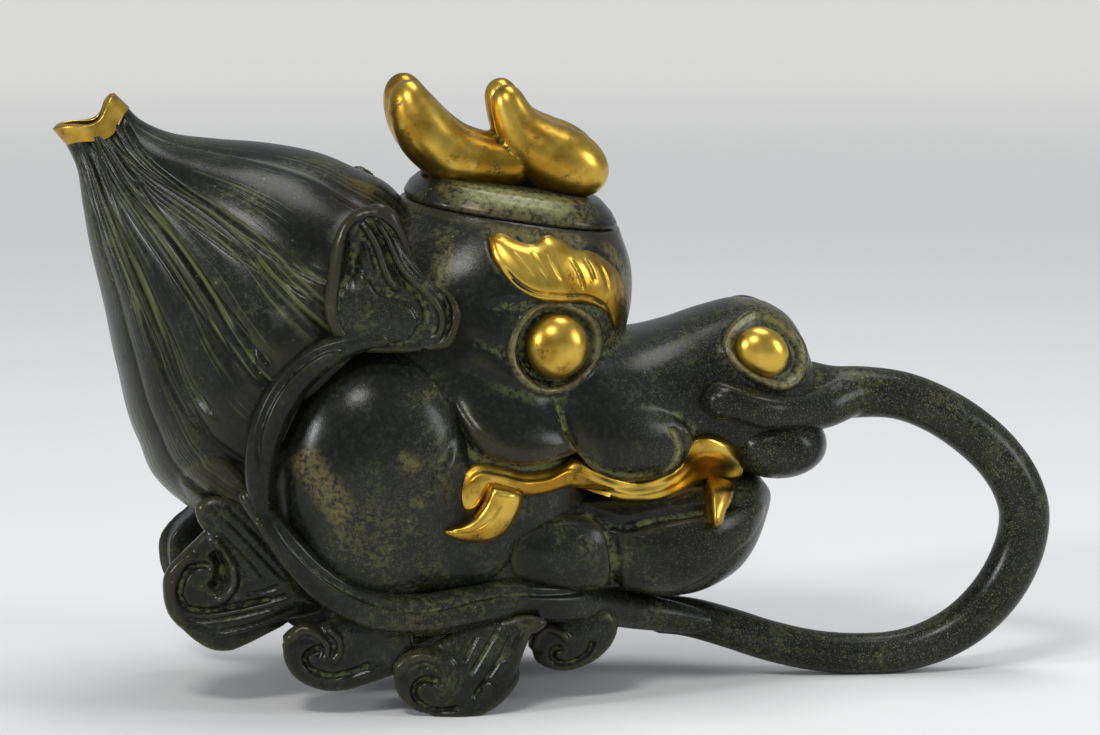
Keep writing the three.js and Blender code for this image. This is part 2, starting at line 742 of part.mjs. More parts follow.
// The gilded brows
const BROW_CORNER_SHARES = { along: 0.589, up: 0.686 };
const BROW_OUTLINE_SHARES = [
  [0, 0.8],
  [0.05, 1],
  [0.27, 0.88],
  [0.43, 0.99],
  [0.62, 0.86],
  [0.8, 0.79],
  [0.94, 0.59],
  [1, 0.32],
  [0.92, 0],
  [0.83, 0.2],
  [0.68, 0.31],
  [0.42, 0.29],
  [0.2, 0.44],
];
const BROW_STEPS = 24;

function buildBrow() {
  const corner = [headX(BROW_CORNER_SHARES.along), headZ(BROW_CORNER_SHARES.up)];
  const outline = outlineOf(BROW_OUTLINE_SHARES, corner, BROW_LENGTH, BROW_HEIGHT, BROW_STEPS);
  const plate = relief(outline, faceForm(BROW_RELIEF));
  const rim = ring(
    eyeSpot,
    EYE_RADIUS + SEAT_GAP + EYE_RING_RADIUS,
    EYE_RING_RADIUS + SEAT_GAP,
    EYE_FACING,
    EYE_STRETCH,
  );
  const ball = ballAt(eyeSpot, EYE_RADIUS, EYE_STRETCH, SEAT_GAP);
  return main(without(plate, [faceSeat, rim, ball, lidRoom]));
}

// The thick roll beside the nose, the pad under it, and the hanging upper lips
const ROLL_POINT_SHARES = [
  [0.585, 0.43, 0.714],
  [0.68, 0.47, 0.7],
  [0.8, 0.4, 0.588],
  [0.92, 0.35, 0.385],
  [0.985, 0.36, 0.196],
];
const ROLL_RADIUS_SHARES = [
  [0, 0.45],
  [0.2, 0.9],
  [0.6, 1],
  [1, 0.8],
];
const ROLL_STEPS = 9;

function rollForm(grow, side = OUT) {
  const points = ROLL_POINT_SHARES.map(
    ([along, up, out]) =>
      new THREE.Vector3(
        THREE.MathUtils.lerp(-SNOUT_ROOT, SNOUT_REACH, along),
        side * SNOUT_HALF_WIDTH * out,
        THREE.MathUtils.lerp(MOUTH_HEIGHT, SNOUT_TOP, up),
      ),
  );
  return tube(points, ROLL_RADIUS, ROLL_RADIUS_SHARES, ROLL_STEPS, grow);
}

const LIP_PAD_SHARES = { along: 0.85, up: 0.09, length: 0.155, width: 0.56 };

function frontLipForm(grow) {
  const length = SNOUT_REACH + SNOUT_ROOT;
  const centre = new THREE.Vector3(
    -SNOUT_ROOT + length * LIP_PAD_SHARES.along,
    0,
    THREE.MathUtils.lerp(MOUTH_HEIGHT, SNOUT_TOP, LIP_PAD_SHARES.up),
  );
  const radii = new THREE.Vector3(
    length * LIP_PAD_SHARES.length,
    SNOUT_HALF_WIDTH * LIP_PAD_SHARES.width,
    LIP_PAD_HEIGHT / 2,
  );
  return ellipsoid(centre, radii.addScalar(grow));
}

const UPPER_LIP_SHARES = {
  upper_lip_rear: { along: 0.02, up: 0.3, out: 1.08, length: 0.185, width: 0.26, height: 0.22 },
  upper_lip_front: { along: 0.345, up: 0.29, out: 0.84, length: 0.2, width: 0.24, height: 0.235 },
};

function upperLipForm(name, grow) {
  const share = UPPER_LIP_SHARES[name];
  const length = SNOUT_REACH + SNOUT_ROOT;
  const height = SNOUT_TOP - MOUTH_HEIGHT;
  const centre = new THREE.Vector3(
    -SNOUT_ROOT + length * share.along,
    OUT * SNOUT_HALF_WIDTH * share.out,
    MOUTH_HEIGHT + height * share.up,
  );
  const radii = new THREE.Vector3(
    length * share.length,
    SNOUT_HALF_WIDTH * share.width,
    height * share.height,
  );
  return ellipsoid(centre, radii.addScalar(grow));
}

// The gilded lip strip and the teeth
const STRIP_CORNER_SHARES = { along: -0.203, up: -0.137 };
const STRIP_OUTLINE_SHARES = [
  [0, 0.35],
  [0.02, 0.59],
  [0.08, 0.68],
  [0.22, 0.52],
  [0.33, 0.56],
  [0.4, 0.76],
  [0.48, 0.52],
  [0.6, 0.4],
  [0.72, 0.5],
  [0.8, 0.82],
  [0.86, 1],
  [0.94, 0.84],
  [0.99, 0.58],
  [0.9, 0.41],
  [0.79, 0.27],
  [0.6, 0.12],
  [0.48, 0.25],
  [0.4, 0.38],
  [0.25, 0.24],
  [0.115, 0.37],
  [0.07, 0.08],
  [0.03, 0],
];
const STRIP_STEPS = 34;
const FANG_CORNER_SHARES = { along: -0.26, up: -0.28 };
const FANG_OUTLINE_SHARES = [
  [0.6, 0.98],
  [0.81, 0.91],
  [0.99, 0.81],
  [0.95, 0.6],
  [0.84, 0.27],
  [0.64, 0.07],
  [0.42, 0],
  [0.14, 0.09],
  [0, 0.25],
  [0.19, 0.35],
  [0.39, 0.49],
  [0.53, 0.77],
];
const FANG_HEIGHT_SHARE = 0.69;
const FRONT_FANG_CORNER_SHARES = { along: 0.607, up: -0.3 };
const FRONT_FANG_OUTLINE_SHARES = [
  [0.05, 1],
  [0.5, 0.98],
  [1, 0.8],
  [0.85, 0.5],
  [0.6, 0.2],
  [0.42, 0],
  [0.06, 0.1],
  [0, 0.5],
];
const FRONT_FANG_WIDTH_SHARE = 0.55;

function muzzleCorner(shares) {
  return [
    THREE.MathUtils.lerp(-SNOUT_ROOT, SNOUT_REACH, shares.along),
    THREE.MathUtils.lerp(MOUTH_HEIGHT, SNOUT_TOP, shares.up),
  ];
}

const stripOutline = outlineOf(
  STRIP_OUTLINE_SHARES,
  muzzleCorner(STRIP_CORNER_SHARES),
  STRIP_LENGTH,
  STRIP_HEIGHT,
  STRIP_STEPS,
);

function buildStrip() {
  const plate = relief(stripOutline, mouthForm(STRIP_RELIEF));
  const lips = Object.keys(UPPER_LIP_SHARES).map((name) => upperLipForm(name, SEAT_GAP));
  const rollAndPad = [rollForm(SEAT_GAP), frontLipForm(SEAT_GAP)];
  return main(without(plate, [mouthSeat, cheekForm(SEAT_GAP), ...lips, ...rollAndPad]));
}

function buildFang(outline) {
  const tooth = relief(outline, mouthForm(FANG_THICKNESS));
  const strip = relief(stripOutline, mouthForm(STRIP_RELIEF + SEAT_GAP));
  const neighbours = [mouthSeat, cheekForm(SEAT_GAP), strip, frontLipForm(SEAT_GAP)];
  return main(without(tooth, neighbours));
}

// The ring handle, from the nose round to its tail under the chin
const LOOP_POINT_SHARES = [
  [0.5, 0.99],
  [0.6, 1],
  [0.69, 0.985],
  [0.77, 0.93],
  [0.84, 0.85],
  [0.895, 0.76],
  [0.93, 0.67],
  [0.949, 0.57],
  [0.945, 0.47],
  [0.925, 0.37],
  [0.885, 0.26],
  [0.83, 0.17],
  [0.76, 0.105],
  [0.69, 0.075],
  [0.61, 0.07],
  [0.52, 0.085],
  [0.43, 0.122],
  [0.34, 0.175],
  [0.26, 0.215],
  [0.17, 0.232],
];
const LOOP_RADIUS_SHARES = [
  [0, 1.5],
  [0.06, 1.35],
  [0.14, 1.1],
  [0.3, 1],
  [0.5, 1],
  [0.66, 0.82],
  [0.9, 0.8],
  [1, 0.72],
];
const LOOP_STEPS = 28;
const LOOP_AROUND = 10;

function loopForm(grow) {
  const points = LOOP_POINT_SHARES.map(
    ([x, z]) => new THREE.Vector3(LOOP_REACH * x, 0, LOOP_HEIGHT * z),
  );
  return tube(points, LOOP_RADIUS, LOOP_RADIUS_SHARES, LOOP_STEPS, grow, LOOP_AROUND);
}

// The collar band: from the handle's tail back under the head and up to a leaf tip
const BAND_POINT_SHARES = [
  [0.36, 0.16, 0.84],
  [0.26, 0.23, 0.93],
  [0.12, 0.42, 1.08],
  [-0.03, 0.62, 1.22],
  [-0.2, 0.75, 1.33],
  [-0.34, 0.82, 1.27],
  [-0.49, 0.86, 1.2],
  [-0.63, 0.88, 1.26],
  [-0.77, 0.9, 1.46],
  [-0.88, 0.93, 1.78],
  [-0.97, 0.94, 2.15],
  [-1.05, 0.92, 2.52],
  [-1.15, 0.86, 2.9],
  [-1.25, 0.78, 3.03],
];
const BAND_RADIUS_SHARES = [
  [0, 0.4],
  [0.12, 1],
  [0.75, 1],
  [0.9, 0.8],
  [1, 0.15],
];
const BAND_STEPS = 18;

function bandForm(grow) {
  const points = BAND_POINT_SHARES.map(
    ([x, y, z]) => new THREE.Vector3(HEAD_REAR * x, OUT * BAND_OUT * y, HEAD_FLOOR * z),
  );
  return tube(points, BAND_RADIUS, BAND_RADIUS_SHARES, BAND_STEPS, grow);
}

// The cloud feet: a plate that ends in a curl, with the curl's slot cut through it
const FEET = [
  {
    name: "scroll_foot_1",
    alongShare: -1.21,
    outShare: 0.5,
    upShare: 1.5,
    outlineShares: [
      [-0.07, 1.93],
      [-0.98, 1.04],
      [-1.32, -0.04],
      [-1, -1.2],
      [-0.07, -2.05],
      [1.12, -2.15],
      [2.33, -1.6],
      [3.2, -1.05],
      [3.1, 0],
      [2.26, 1.5],
      [1.2, 2.3],
    ],
  },
  {
    name: "scroll_foot_2",
    alongShare: -0.864,
    outShare: 0.74,
    upShare: 0.72,
    outlineShares: [
      [-0.97, 0.25],
      [-0.9, -0.55],
      [-0.4, -1.15],
      [0.6, -1.22],
      [1.7, -1.1],
      [2.5, -0.7],
      [3, 0],
      [3.1, 1.3],
      [1.2, 1.5],
      [0.3, 1.1],
      [-0.5, 0.85],
    ],
  },
  {
    name: "scroll_foot_3",
    alongShare: -0.5,
    outShare: 0.78,
    upShare: 0.46,
    outlineShares: [
      [-0.97, 0.25],
      [-0.95, -0.3],
      [-0.4, -1.1],
      [0.5, -1.42],
      [1.4, -1.5],
      [2.4, -1.05],
      [3.05, -0.2],
      [3.4, 0.9],
      [4.1, 1.9],
      [3, 2.6],
      [0.8, 2.5],
      [-0.5, 0.85],
    ],
  },
  {
    name: "scroll_foot_4",
    alongShare: -0.02,
    outShare: 0.5,
    upShare: 0.73,
    outlineShares: [
      [-1.15, 0.6],
      [-1.1, -0.2],
      [-0.5, -0.72],
      [0.4, -0.72],
      [1.15, -0.2],
      [1.4, 0.5],
      [0.9, 1.4],
      [-0.6, 1.5],
    ],
  },
];
const SLOT_FROM = THREE.MathUtils.degToRad(-150);
const SLOT_TO = THREE.MathUtils.degToRad(95);
const SLOT_RADIUS_SHARE = 0.55;
const SLOT_STEPS = 6;
const FOOT_STEPS = 22;

function arcOutline(x, z, radius, width) {
  const edge = (reach, from, to) =>
    Array.from({ length: SLOT_STEPS + 1 }, (_, i) => {
      const angle = THREE.MathUtils.lerp(from, to, i / SLOT_STEPS);
      return [x + reach * Math.cos(angle), z + reach * Math.sin(angle)];
    });
  return [
    ...edge(radius + width / 2, SLOT_FROM, SLOT_TO),
    ...edge(radius - width / 2, SLOT_TO, SLOT_FROM),
  ];
}

function footPlate(foot) {
  const x = HEAD_REAR * foot.alongShare;
  const z = HEAD_FLOOR * foot.upShare;
  const middle = BAND_OUT * foot.outShare;
  const from = middle - FOOT_THICKNESS / 2;
  const to = middle + FOOT_THICKNESS / 2;
  const outline = outlineOf(foot.outlineShares, [x, z], CURL_RADIUS, CURL_RADIUS, FOOT_STEPS);
  const slot = arcOutline(x, z, CURL_RADIUS * SLOT_RADIUS_SHARE, CURL_SLOT);
  return slab(outline, from, to).subtract(slab(slot, from - SEAT_GAP, to + SEAT_GAP));
}

// The floor: what rests on it is worn flat.
function floorBlock() {
  const size = SPOUT_REACH + LOOP_REACH;
  const block = new THREE.BoxGeometry(size, size, size);
  block.translate(0, 0, -size / 2);
  return solidFrom(block);
}

// The lid: a domed cover, a locating ring under it, and two horns on it.
const COVER_PROFILE_SHARES = [
  [0, 1, 0],
  [0.2, 1, 0.25],
  [0.5, 0.95, 0.62],
  [0.8, 0.78, 0.92],
  [1, 0.45, 1],
];
const coverProfile = smooth(COVER_PROFILE_SHARES);
const COVER_ALONG = 4;

function coverForm(grow) {
  const height = (x, rise) => seatAt(x) + rise * (LID_THICKNESS + grow) + (rise === 0 ? -grow : 0);
  const skin = (turn, way) => {
    const [wide, rise] = coverProfile(way);
    const [u, v] = ringPoint(turn, LID_POWER);
    const x = lidX + (LID_HALF_LENGTH * wide + grow) * u;
    return new THREE.Vector3(x, (LID_HALF_WIDTH * wide + grow) * v, height(x, rise));
  };
  const core = (way) => new THREE.Vector3(lidX, 0, height(lidX, coverProfile(way)[1]));
  return loft(LID_AROUND, COVER_ALONG, skin, core);
}

function buildFlange() {
  const length = MOUTH_HALF_LENGTH - FLANGE_CLEARANCE;
  const width = MOUTH_HALF_WIDTH - FLANGE_CLEARANCE;
  const outside = oval(length, width, -FLANGE_DROP, -SEAT_GAP);
  const past = FLANGE_DROP + SEAT_GAP;
  const inside = oval(length - FLANGE_WALL, width - FLANGE_WALL, -past, past);
  return outside.subtract(inside);
}

const HORN_PRONGS = {
  front: {
    pointShares: [
      [0.88, 0.12],
      [0.6, 0.25],
      [0.3, 0.37],
      [0.09, 0.54],
      [-0.04, 0.76],
      [-0.09, 0.94],
    ],
    radiusShares: [
      [0, 0.66],
      [0.12, 0.8],
      [0.3, 0.98],
      [0.5, 0.92],
      [0.72, 0.66],
      [0.9, 0.48],
      [1, 0.18],
    ],
  },
  rear: {
    pointShares: [
      [0.2, 0.28],
      [-0.26, 0.29],
      [-0.56, 0.36],
      [-0.8, 0.52],
      [-0.96, 0.75],
      [-1.03, 0.99],
    ],
    radiusShares: [
      [0, 0.6],
      [0.3, 0.76],
      [0.55, 0.86],
      [0.75, 0.8],
      [0.92, 0.56],
      [1, 0.22],
    ],
  },
};
const HORN_STEPS = 9;
const HORN_FOOT_SHARE = 0.582; // how far up the lid's thickness the horns' heights start
const HORN_AROUND = 10;

function hornForm() {
  const prongs = Object.values(HORN_PRONGS).map(({ pointShares, radiusShares }) => {
    const points = pointShares.map(
      ([x, z]) =>
        new THREE.Vector3(
          lidX + LID_HALF_LENGTH * x,
          OUT * HORN_SPREAD,
          seatAt(lidX) + LID_THICKNESS * HORN_FOOT_SHARE + HORN_RISE * z,
        ),
    );
    return tube(points, HORN_RADIUS, radiusShares, HORN_STEPS, 0, HORN_AROUND);
  });
  return together(prongs);
}

addPiece("head_shell", buildHead(), bronze);
addPiece("mane_spout", buildMane(), bronze);
addPiece("spout_lip", buildLip(), gilt);

const headSeat = headForm(SEAT_GAP);
addPiece("snout", main(snoutForm(0).subtract(headSeat)), bronze);
addPiece("lower_jaw", main(jawForm(0).subtract(headSeat)), bronze);
addPair("cheek", main(without(cheekForm(0), [mouthSeat, maneSeat])), bronze);
addPair(
  "jowl_crest",
  main(without(crestForm(0), [headSeat, maneSeat, cheekForm(SEAT_GAP)])),
  bronze,
);
const earNeighbours = [headSeat, maneSeat, cheekForm(SEAT_GAP), crestForm(SEAT_GAP)];
addPair("ear", main(without(earForm(), earNeighbours)), bronze);
addPair("eye_ring", main(eyeRingForm.subtract(faceSeat)), bronze);
addPair("eyeball", main(ballAt(eyeSpot, EYE_RADIUS, EYE_STRETCH, 0).subtract(faceSeat)), gilt);
addPair("brow", buildBrow(), gilt);
addPair("nostril_ring", main(without(nostrilRingForm, [faceSeat, rollForm(SEAT_GAP)])), bronze);
addPair(
  "nostril_ball",
  main(ballAt(nostrilSpot, NOSTRIL_RADIUS, NOSTRIL_STRETCH, 0).subtract(faceSeat)),
  gilt,
);
const handle = without(loopForm(0), [mouthSeat, floorBlock()]);
addPiece("handle_loop", main(handle), bronze);
addPair("nose_roll", main(without(rollForm(0), [mouthSeat, loopForm(SEAT_GAP)])), bronze);
const padNeighbours = [faceSeat, jawForm(SEAT_GAP), loopForm(SEAT_GAP), rollForm(SEAT_GAP)];
const farRoll = rollForm(SEAT_GAP, -OUT);
addPiece("front_lip", main(without(frontLipForm(0), [...padNeighbours, farRoll])), bronze);
for (const name of Object.keys(UPPER_LIP_SHARES)) {
  const neighbours = [mouthSeat, cheekForm(SEAT_GAP), rollForm(SEAT_GAP)];
  if (name === "upper_lip_front") neighbours.push(upperLipForm("upper_lip_rear", SEAT_GAP));
  addPair(name, main(without(upperLipForm(name, 0), neighbours)), bronze);
}
addPair("lip_strip", buildStrip(), gilt);
addPair(
  "rear_fang",
  buildFang(
    outlineOf(
      FANG_OUTLINE_SHARES,
      muzzleCorner(FANG_CORNER_SHARES),
      FANG_LENGTH,
      FANG_LENGTH * FANG_HEIGHT_SHARE,
    ),
  ),
  gilt,
);
addPair(
  "front_fang",
  buildFang(
    outlineOf(
      FRONT_FANG_OUTLINE_SHARES,
      muzzleCorner(FRONT_FANG_CORNER_SHARES),
      FRONT_FANG_LENGTH * FRONT_FANG_WIDTH_SHARE,
      FRONT_FANG_LENGTH,
    ),
  ),
  gilt,
);
const bandNeighbours = [mouthSeat, maneSeat, cheekForm(SEAT_GAP), crestForm(SEAT_GAP)];
addPair(
  "collar_band",
  main(without(bandForm(0), [...bandNeighbours, loopForm(SEAT_GAP)])),
  bronze,
);
const footNeighbours = [mouthSeat, maneSeat, bandForm(SEAT_GAP), floorBlock()];
for (const foot of FEET)
  addPair(foot.name, main(without(footPlate(foot), footNeighbours)), bronze);

addPiece("lid_cover", coverForm(0), bronze);
addPiece("lid_flange", buildFlange(), bronze);
addPair("horn", main(hornForm().subtract(coverForm(SEAT_GAP))), gilt);

export default vessel;
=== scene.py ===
import math
import bmesh
import bpy
import numpy as np
from mathutils import Matrix, Vector
from mathutils.bvhtree import BVHTree


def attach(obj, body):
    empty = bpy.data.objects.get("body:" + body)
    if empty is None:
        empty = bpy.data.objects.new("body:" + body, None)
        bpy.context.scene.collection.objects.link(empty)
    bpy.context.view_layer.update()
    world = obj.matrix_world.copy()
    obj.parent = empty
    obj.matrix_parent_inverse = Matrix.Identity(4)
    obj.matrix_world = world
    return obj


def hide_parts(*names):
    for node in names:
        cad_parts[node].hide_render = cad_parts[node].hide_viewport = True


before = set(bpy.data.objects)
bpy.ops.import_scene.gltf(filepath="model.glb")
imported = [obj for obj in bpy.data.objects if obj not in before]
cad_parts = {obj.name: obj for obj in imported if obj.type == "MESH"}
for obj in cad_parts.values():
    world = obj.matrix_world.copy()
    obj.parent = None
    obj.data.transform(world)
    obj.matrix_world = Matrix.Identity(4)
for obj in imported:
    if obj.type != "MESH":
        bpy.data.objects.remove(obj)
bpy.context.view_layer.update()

bl_info = {
    "name": "Beast Head Teapot",
    "version": (1, 0, 0),
    "blender": (4, 5, 0),
    "location": "View3D > Sidebar > Teapot",
    "description": "Models a small parcel-gilt bronze teapot in the form of a horned beast head",
    "category": "Mesh",
}

# Lengths are in metres.
MM = 0.001
ACROSS = np.array((0.0, 1.0, 0.0))
WELD = 1e-6  # points nearer than this are joined
CUT = 1e-7  # play of a cutting plane
LEAST_RADIUS = 1e-6
TINY = 1e-12
TRIANGLE_LIMIT = 190000
PLATE_POINTS = 90
CURVE_DETAIL = 8  # points of a soft curve, or of a drawn line or area, to each given one
LINE_DETAIL = 4
AREA_DETAIL = 5
FADE_START = -0.02

# The drawing: the side view that the chased lines are laid out on, 0.2 mm to a unit.
DRAWING_WIDTH = 1100
DRAWING_HEIGHT = 735
DRAWING_FOCUS = 4500
DRAWING_TURN = math.radians(-6)
DRAWING_RISE = math.radians(9)
DRAWING_DISTANCE = 0.9
DRAWING_AIM = np.array((-0.002, 0, 0.064))
LOOK = np.array((
    -math.sin(DRAWING_TURN) * math.cos(DRAWING_RISE),
    math.cos(DRAWING_TURN) * math.cos(DRAWING_RISE),
    -math.sin(DRAWING_RISE),
))
RIGHT = np.array((math.cos(DRAWING_TURN), math.sin(DRAWING_TURN), 0))
UP = np.cross(RIGHT, LOOK)
EYE = DRAWING_AIM - DRAWING_DISTANCE * LOOK

# Head sections from its floor to its crown: way up, rear, front and half width as shares.
HEAD_REAR = -59 * MM
HEAD_FRONT = 14 * MM
HEAD_FLOOR = 17 * MM
HEAD_CROWN = 102 * MM
HEAD_HALF_WIDTH = 31 * MM
HEAD_WALL = 3 * MM
HEAD_SHARES = (
    (0, .72, -.2, .45), (.06, .86, .3, .79), (.2, .96, .55, .95), (.37, 1, .57, 1),
    (.51, .97, .64, .95), (.62, .88, .86, .91), (.72, .78, 1, .89), (.81, .7, .98, .84),
    (.88, .63, .84, .75), (.94, .56, .72, .65), (1, .54, .6, .58),
)

# Muzzle and jaw sections from root to front: way, crest, base and half width as shares.
# The jaw's are measured from its top down.
SNOUT_ROOT = -10 * MM
SNOUT_REACH = 52.5 * MM
MOUTH_HEIGHT = 44 * MM
SNOUT_TOP = 77.5 * MM
SNOUT_HALF_WIDTH = 25 * MM
SNOUT_SHARES = (
    (0, .9, .06, 1), (.24, .87, .01, .98), (.37, .83, 0, .9), (.5, .88, 0, .78),
    (.62, .955, 0, .7), (.75, 1, 0, .68), (.86, .94, .02, .6), (.94, .81, .06, .44),
    (1, .63, .21, .2),
)
JAW_ROOT = -22 * MM
JAW_REACH = 43 * MM
JAW_FLOOR = 18 * MM
JAW_TOP = 43.7 * MM
JAW_HALF_WIDTH = 25.5 * MM
JAW_SHARES = (
    (0, .85, 0, 1), (.2, .97, 0, 1.1), (.36, 1, 0, 1.07), (.5, .95, 0, .91),
    (.65, 1, 0, .89), (.8, .93, 0, .77), (.9, .77, 0, .58), (.96, .6, .02, .42),
    (1, .4, .1, .22),
)

# Mane sections from lip to root: way, then the top's and the rear's x and z, and half width.
SPOUT_REACH = 100 * MM
SPOUT_HEIGHT = 120 * MM
MANE_HALF_WIDTH = 32 * MM
GROOVE_DEPTH = 1.9 * MM
GROOVE_SHARES = ((.17, .35), (.41, 1), (.54, 1), (.7, 1), (.82, .5))
MANE_SHARES = (
    (0, .855, .977, .976, .918, .17), (.1, .828, .955, .955, .878, .25),
    (.22, .77, .933, .944, .815, .38), (.36, .68, .922, .93, .742, .54),
    (.5, .58, .914, .907, .655, .7), (.64, .48, .897, .883, .55, .84),
    (.78, .4, .868, .845, .43, .95), (.9, .33, .835, .765, .325, 1),
    (1, .26, .76, .5, .18, .76),
)


# Helpers for shapes

def smooth(rows, way):
    """Values of a table at way, which may be an array: a soft curve through its rows."""
    rows = np.array(rows, float)
    knots, values = rows[:, 0], rows[:, 1:]
    slopes = np.gradient(values, knots, axis=0)
    way = np.clip(way, knots[0], knots[-1])
    row = np.clip(np.searchsorted(knots, way, side="right") - 1, 0, len(knots) - 2)
    span = (knots[row + 1] - knots[row])[..., None]
    t = (way - knots[row])[..., None] / span
    start, end = values[row], values[row + 1]
    return (
        start * (1 + 2 * t) * (1 - t) ** 2 + end * t * t * (3 - 2 * t)
        + span * (slopes[row] * t * (1 - t) ** 2 - slopes[row + 1] * t * t * (1 - t))
    )


def ease(value, start, end):
    """0 before start, 1 after end, and a soft step between."""
    t = np.clip((value - start) / (end - start), 0, 1)
    return t * t * (3 - 2 * t)


def rounded_end(room, stretch):
    """Share of a section left near an end, so that the end is round."""
    return np.sqrt(np.maximum(0, 1 - (1 - np.clip(room / stretch, 0, 1)) ** 2))


def through(points, count):
    """Evenly spaced points on a soft curve through the given ones."""
    points = np.array(points, float)
    steps = np.linalg.norm(np.diff(points, axis=0), axis=1)
    knots = np.concatenate(([0], np.cumsum(steps)))
    ways = np.linspace(0, knots[-1], CURVE_DETAIL * len(points))
    dense = smooth(np.column_stack((knots, points)), ways)
    run = np.concatenate(([0], np.cumsum(np.linalg.norm(np.diff(dense, axis=0), axis=1))))
    even = np.linspace(0, run[-1], count)
    return np.column_stack([np.interp(even, run, column) for column in dense.T])


def pairs(text):
    """Drawing points written as 'x,y x,y'."""
    return np.array([[float(n) for n in pair.split(",")] for pair in text.split()])


def ring_through(text, count):
    """A soft closed line through drawing points."""
    points = pairs(text)
    return through(np.vstack((points, points[:1])), count)


def round_section(turn, power):
    """Cosine and sine of a squarish circle."""
    c, s = np.cos(turn), np.sin(turn)
    return np.sign(c) * np.abs(c) ** (2 / power), np.sign(s) * np.abs(s) ** (2 / power)


def stack(*columns):
    """Points from columns or single numbers."""
    return np.stack(np.broadcast_arrays(*columns), axis=-1).astype(float)


def unit(vectors):
    return vectors / np.maximum(np.linalg.norm(vectors, axis=-1, keepdims=True), TINY)


def only(geometry, kind):
    """The parts of an operator's result that are of one kind."""
    return [part for part in geometry if isinstance(part, kind)]


def rim_of(bm):
    return [edge for edge in bm.edges if edge.is_boundary]


def close(bm):
    """Fills the openings of a skin."""
    rim = rim_of(bm)
    if rim:
        bmesh.ops.holes_fill(bm, edges=rim, sides=0)


def cut(bm, place, outwards):
    """Takes away what lies on the outer side of a plane."""
    bmesh.ops.bisect_plane(bm, geom=[*bm.verts, *bm.edges, *bm.faces], dist=CUT,
                           plane_co=place, plane_no=outwards, clear_outer=True)


def put(verts, places):
    """Moves points to their places."""
    for vert, place in zip(verts, places):
        vert.co = place


def grid(bm, around, along):
    """A flat grid, with the turn and the way of each of its points."""
    made = bmesh.ops.create_grid(bm, x_segments=around, y_segments=along, size=0.5)["verts"]
    flat = np.array([v.co[:] for v in made]) + 0.5
    return made, flat[:, 0] * math.tau, flat[:, 1]


def wrap(bm, place, around, along):
    """A closed skin: a grid whose points go where place(turn, way) says, sewn at its seam."""
    made, turn, way = grid(bm, around, along)
    put(made, place(turn, way))
    bmesh.ops.remove_doubles(bm, verts=made, dist=WELD)
    close(bm)


def tube(bm, line, radii, scale, around, along):
    """A tube with round ends along a soft line. Its radii are shares of a scale."""
    radii = [(way, radius * scale) for way, radius in radii]
    line = through(line, along + 1)
    steps = np.linalg.norm(np.diff(line, axis=0), axis=1)
    run = np.concatenate(([0], np.cumsum(steps)))
    ahead = unit(np.gradient(line, axis=0))
    side = unit(np.cross(ahead, ACROSS))
    top = np.cross(side, ahead)
    size = smooth(radii, run / run[-1])[:, 0]
    room = np.minimum(run, run[-1] - run) / np.maximum(size, LEAST_RADIUS)
    size = size * rounded_end(room, 1)

    def place(turn, way):
        i = np.clip(np.rint(way * along).astype(int), 0, along)
        return (
            line[i] + side[i] * (size[i] * np.cos(turn))[:, None]
            + top[i] * (size[i] * np.sin(turn))[:, None]
        )
    wrap(bm, place, around, along)


def ball(bm, centre, radii, lean=0.0, power=2.0):
    """An ellipsoid in mm, leaned about Y. A power over 2 gives it a flatter side."""
    centre, radii = [v * MM for v in centre], [v * MM for v in radii]
    made = bmesh.ops.create_icosphere(bm, subdivisions=6, radius=1)["verts"]
    c, s = math.cos(lean), math.sin(lean)
    for v in made:
        reach = (math.hypot(v.co.x, v.co.z) ** power + abs(v.co.y) ** power) ** (1 / power)
        x, y, z = (v.co[k] * radii[k] / reach for k in range(3))
        v.co = (centre[0] + x * c + z * s, centre[1] + y, centre[2] + z * c - x * s)


def rays(points):
    """Directions from the drawing's eye through drawing points."""
    points = np.asarray(points, float)
    across = (points[..., 0:1] - DRAWING_WIDTH / 2) / DRAWING_FOCUS
    down = (points[..., 1:2] - DRAWING_HEIGHT / 2) / DRAWING_FOCUS
    return LOOK + RIGHT * across - UP * down


def at_side(points, side):
    """Drawing points moved out to the plane Y = side, in metres."""
    ahead = rays(points)
    return EYE + ahead * ((side - EYE[1]) / ahead[..., 1:2])


def drawn(places):
    """Drawing points of places in space."""
    reach = places - EYE
    deep = reach @ LOOK
    return np.column_stack((
        DRAWING_WIDTH / 2 + DRAWING_FOCUS * (reach @ RIGHT) / deep,
        DRAWING_HEIGHT / 2 - DRAWING_FOCUS * (reach @ UP) / deep,
    ))


def plate(bm, outline, near, far, back):
    """A plate of the drawn outline between two planes of Y, its back smaller by a share."""
    line = ring_through(outline, PLATE_POINTS)[:-1]
    face = bm.faces.new([bm.verts.new(p) for p in at_side(line, near)])
    made = bmesh.ops.extrude_face_region(bm, geom=[face])["geom"]
    behind = only(made, bmesh.types.BMVert)
    middle = sum((v.co for v in behind), Vector()) / len(behind)
    bmesh.ops.scale(bm, vec=(back, 1, back), space=Matrix.Translation(-middle), verts=behind)
    bmesh.ops.translate(bm, verts=behind, vec=(0, far - near, 0))
    bmesh.ops.recalc_face_normals(bm, faces=bm.faces)


def linked(name, data):
    """A new object in the scene."""
    obj = bpy.data.objects.new(name, data)
    bpy.context.scene.collection.objects.link(obj)
    return obj


def meshed(bm, name):
    """The bmesh as an object in the scene."""
    mesh = bpy.data.meshes.new(name)
    bm.to_mesh(mesh)
    bm.free()
    return linked(name, mesh)


def built(bm, name):
    bmesh.ops.recalc_face_normals(bm, faces=bm.faces)
    return meshed(bm, name)


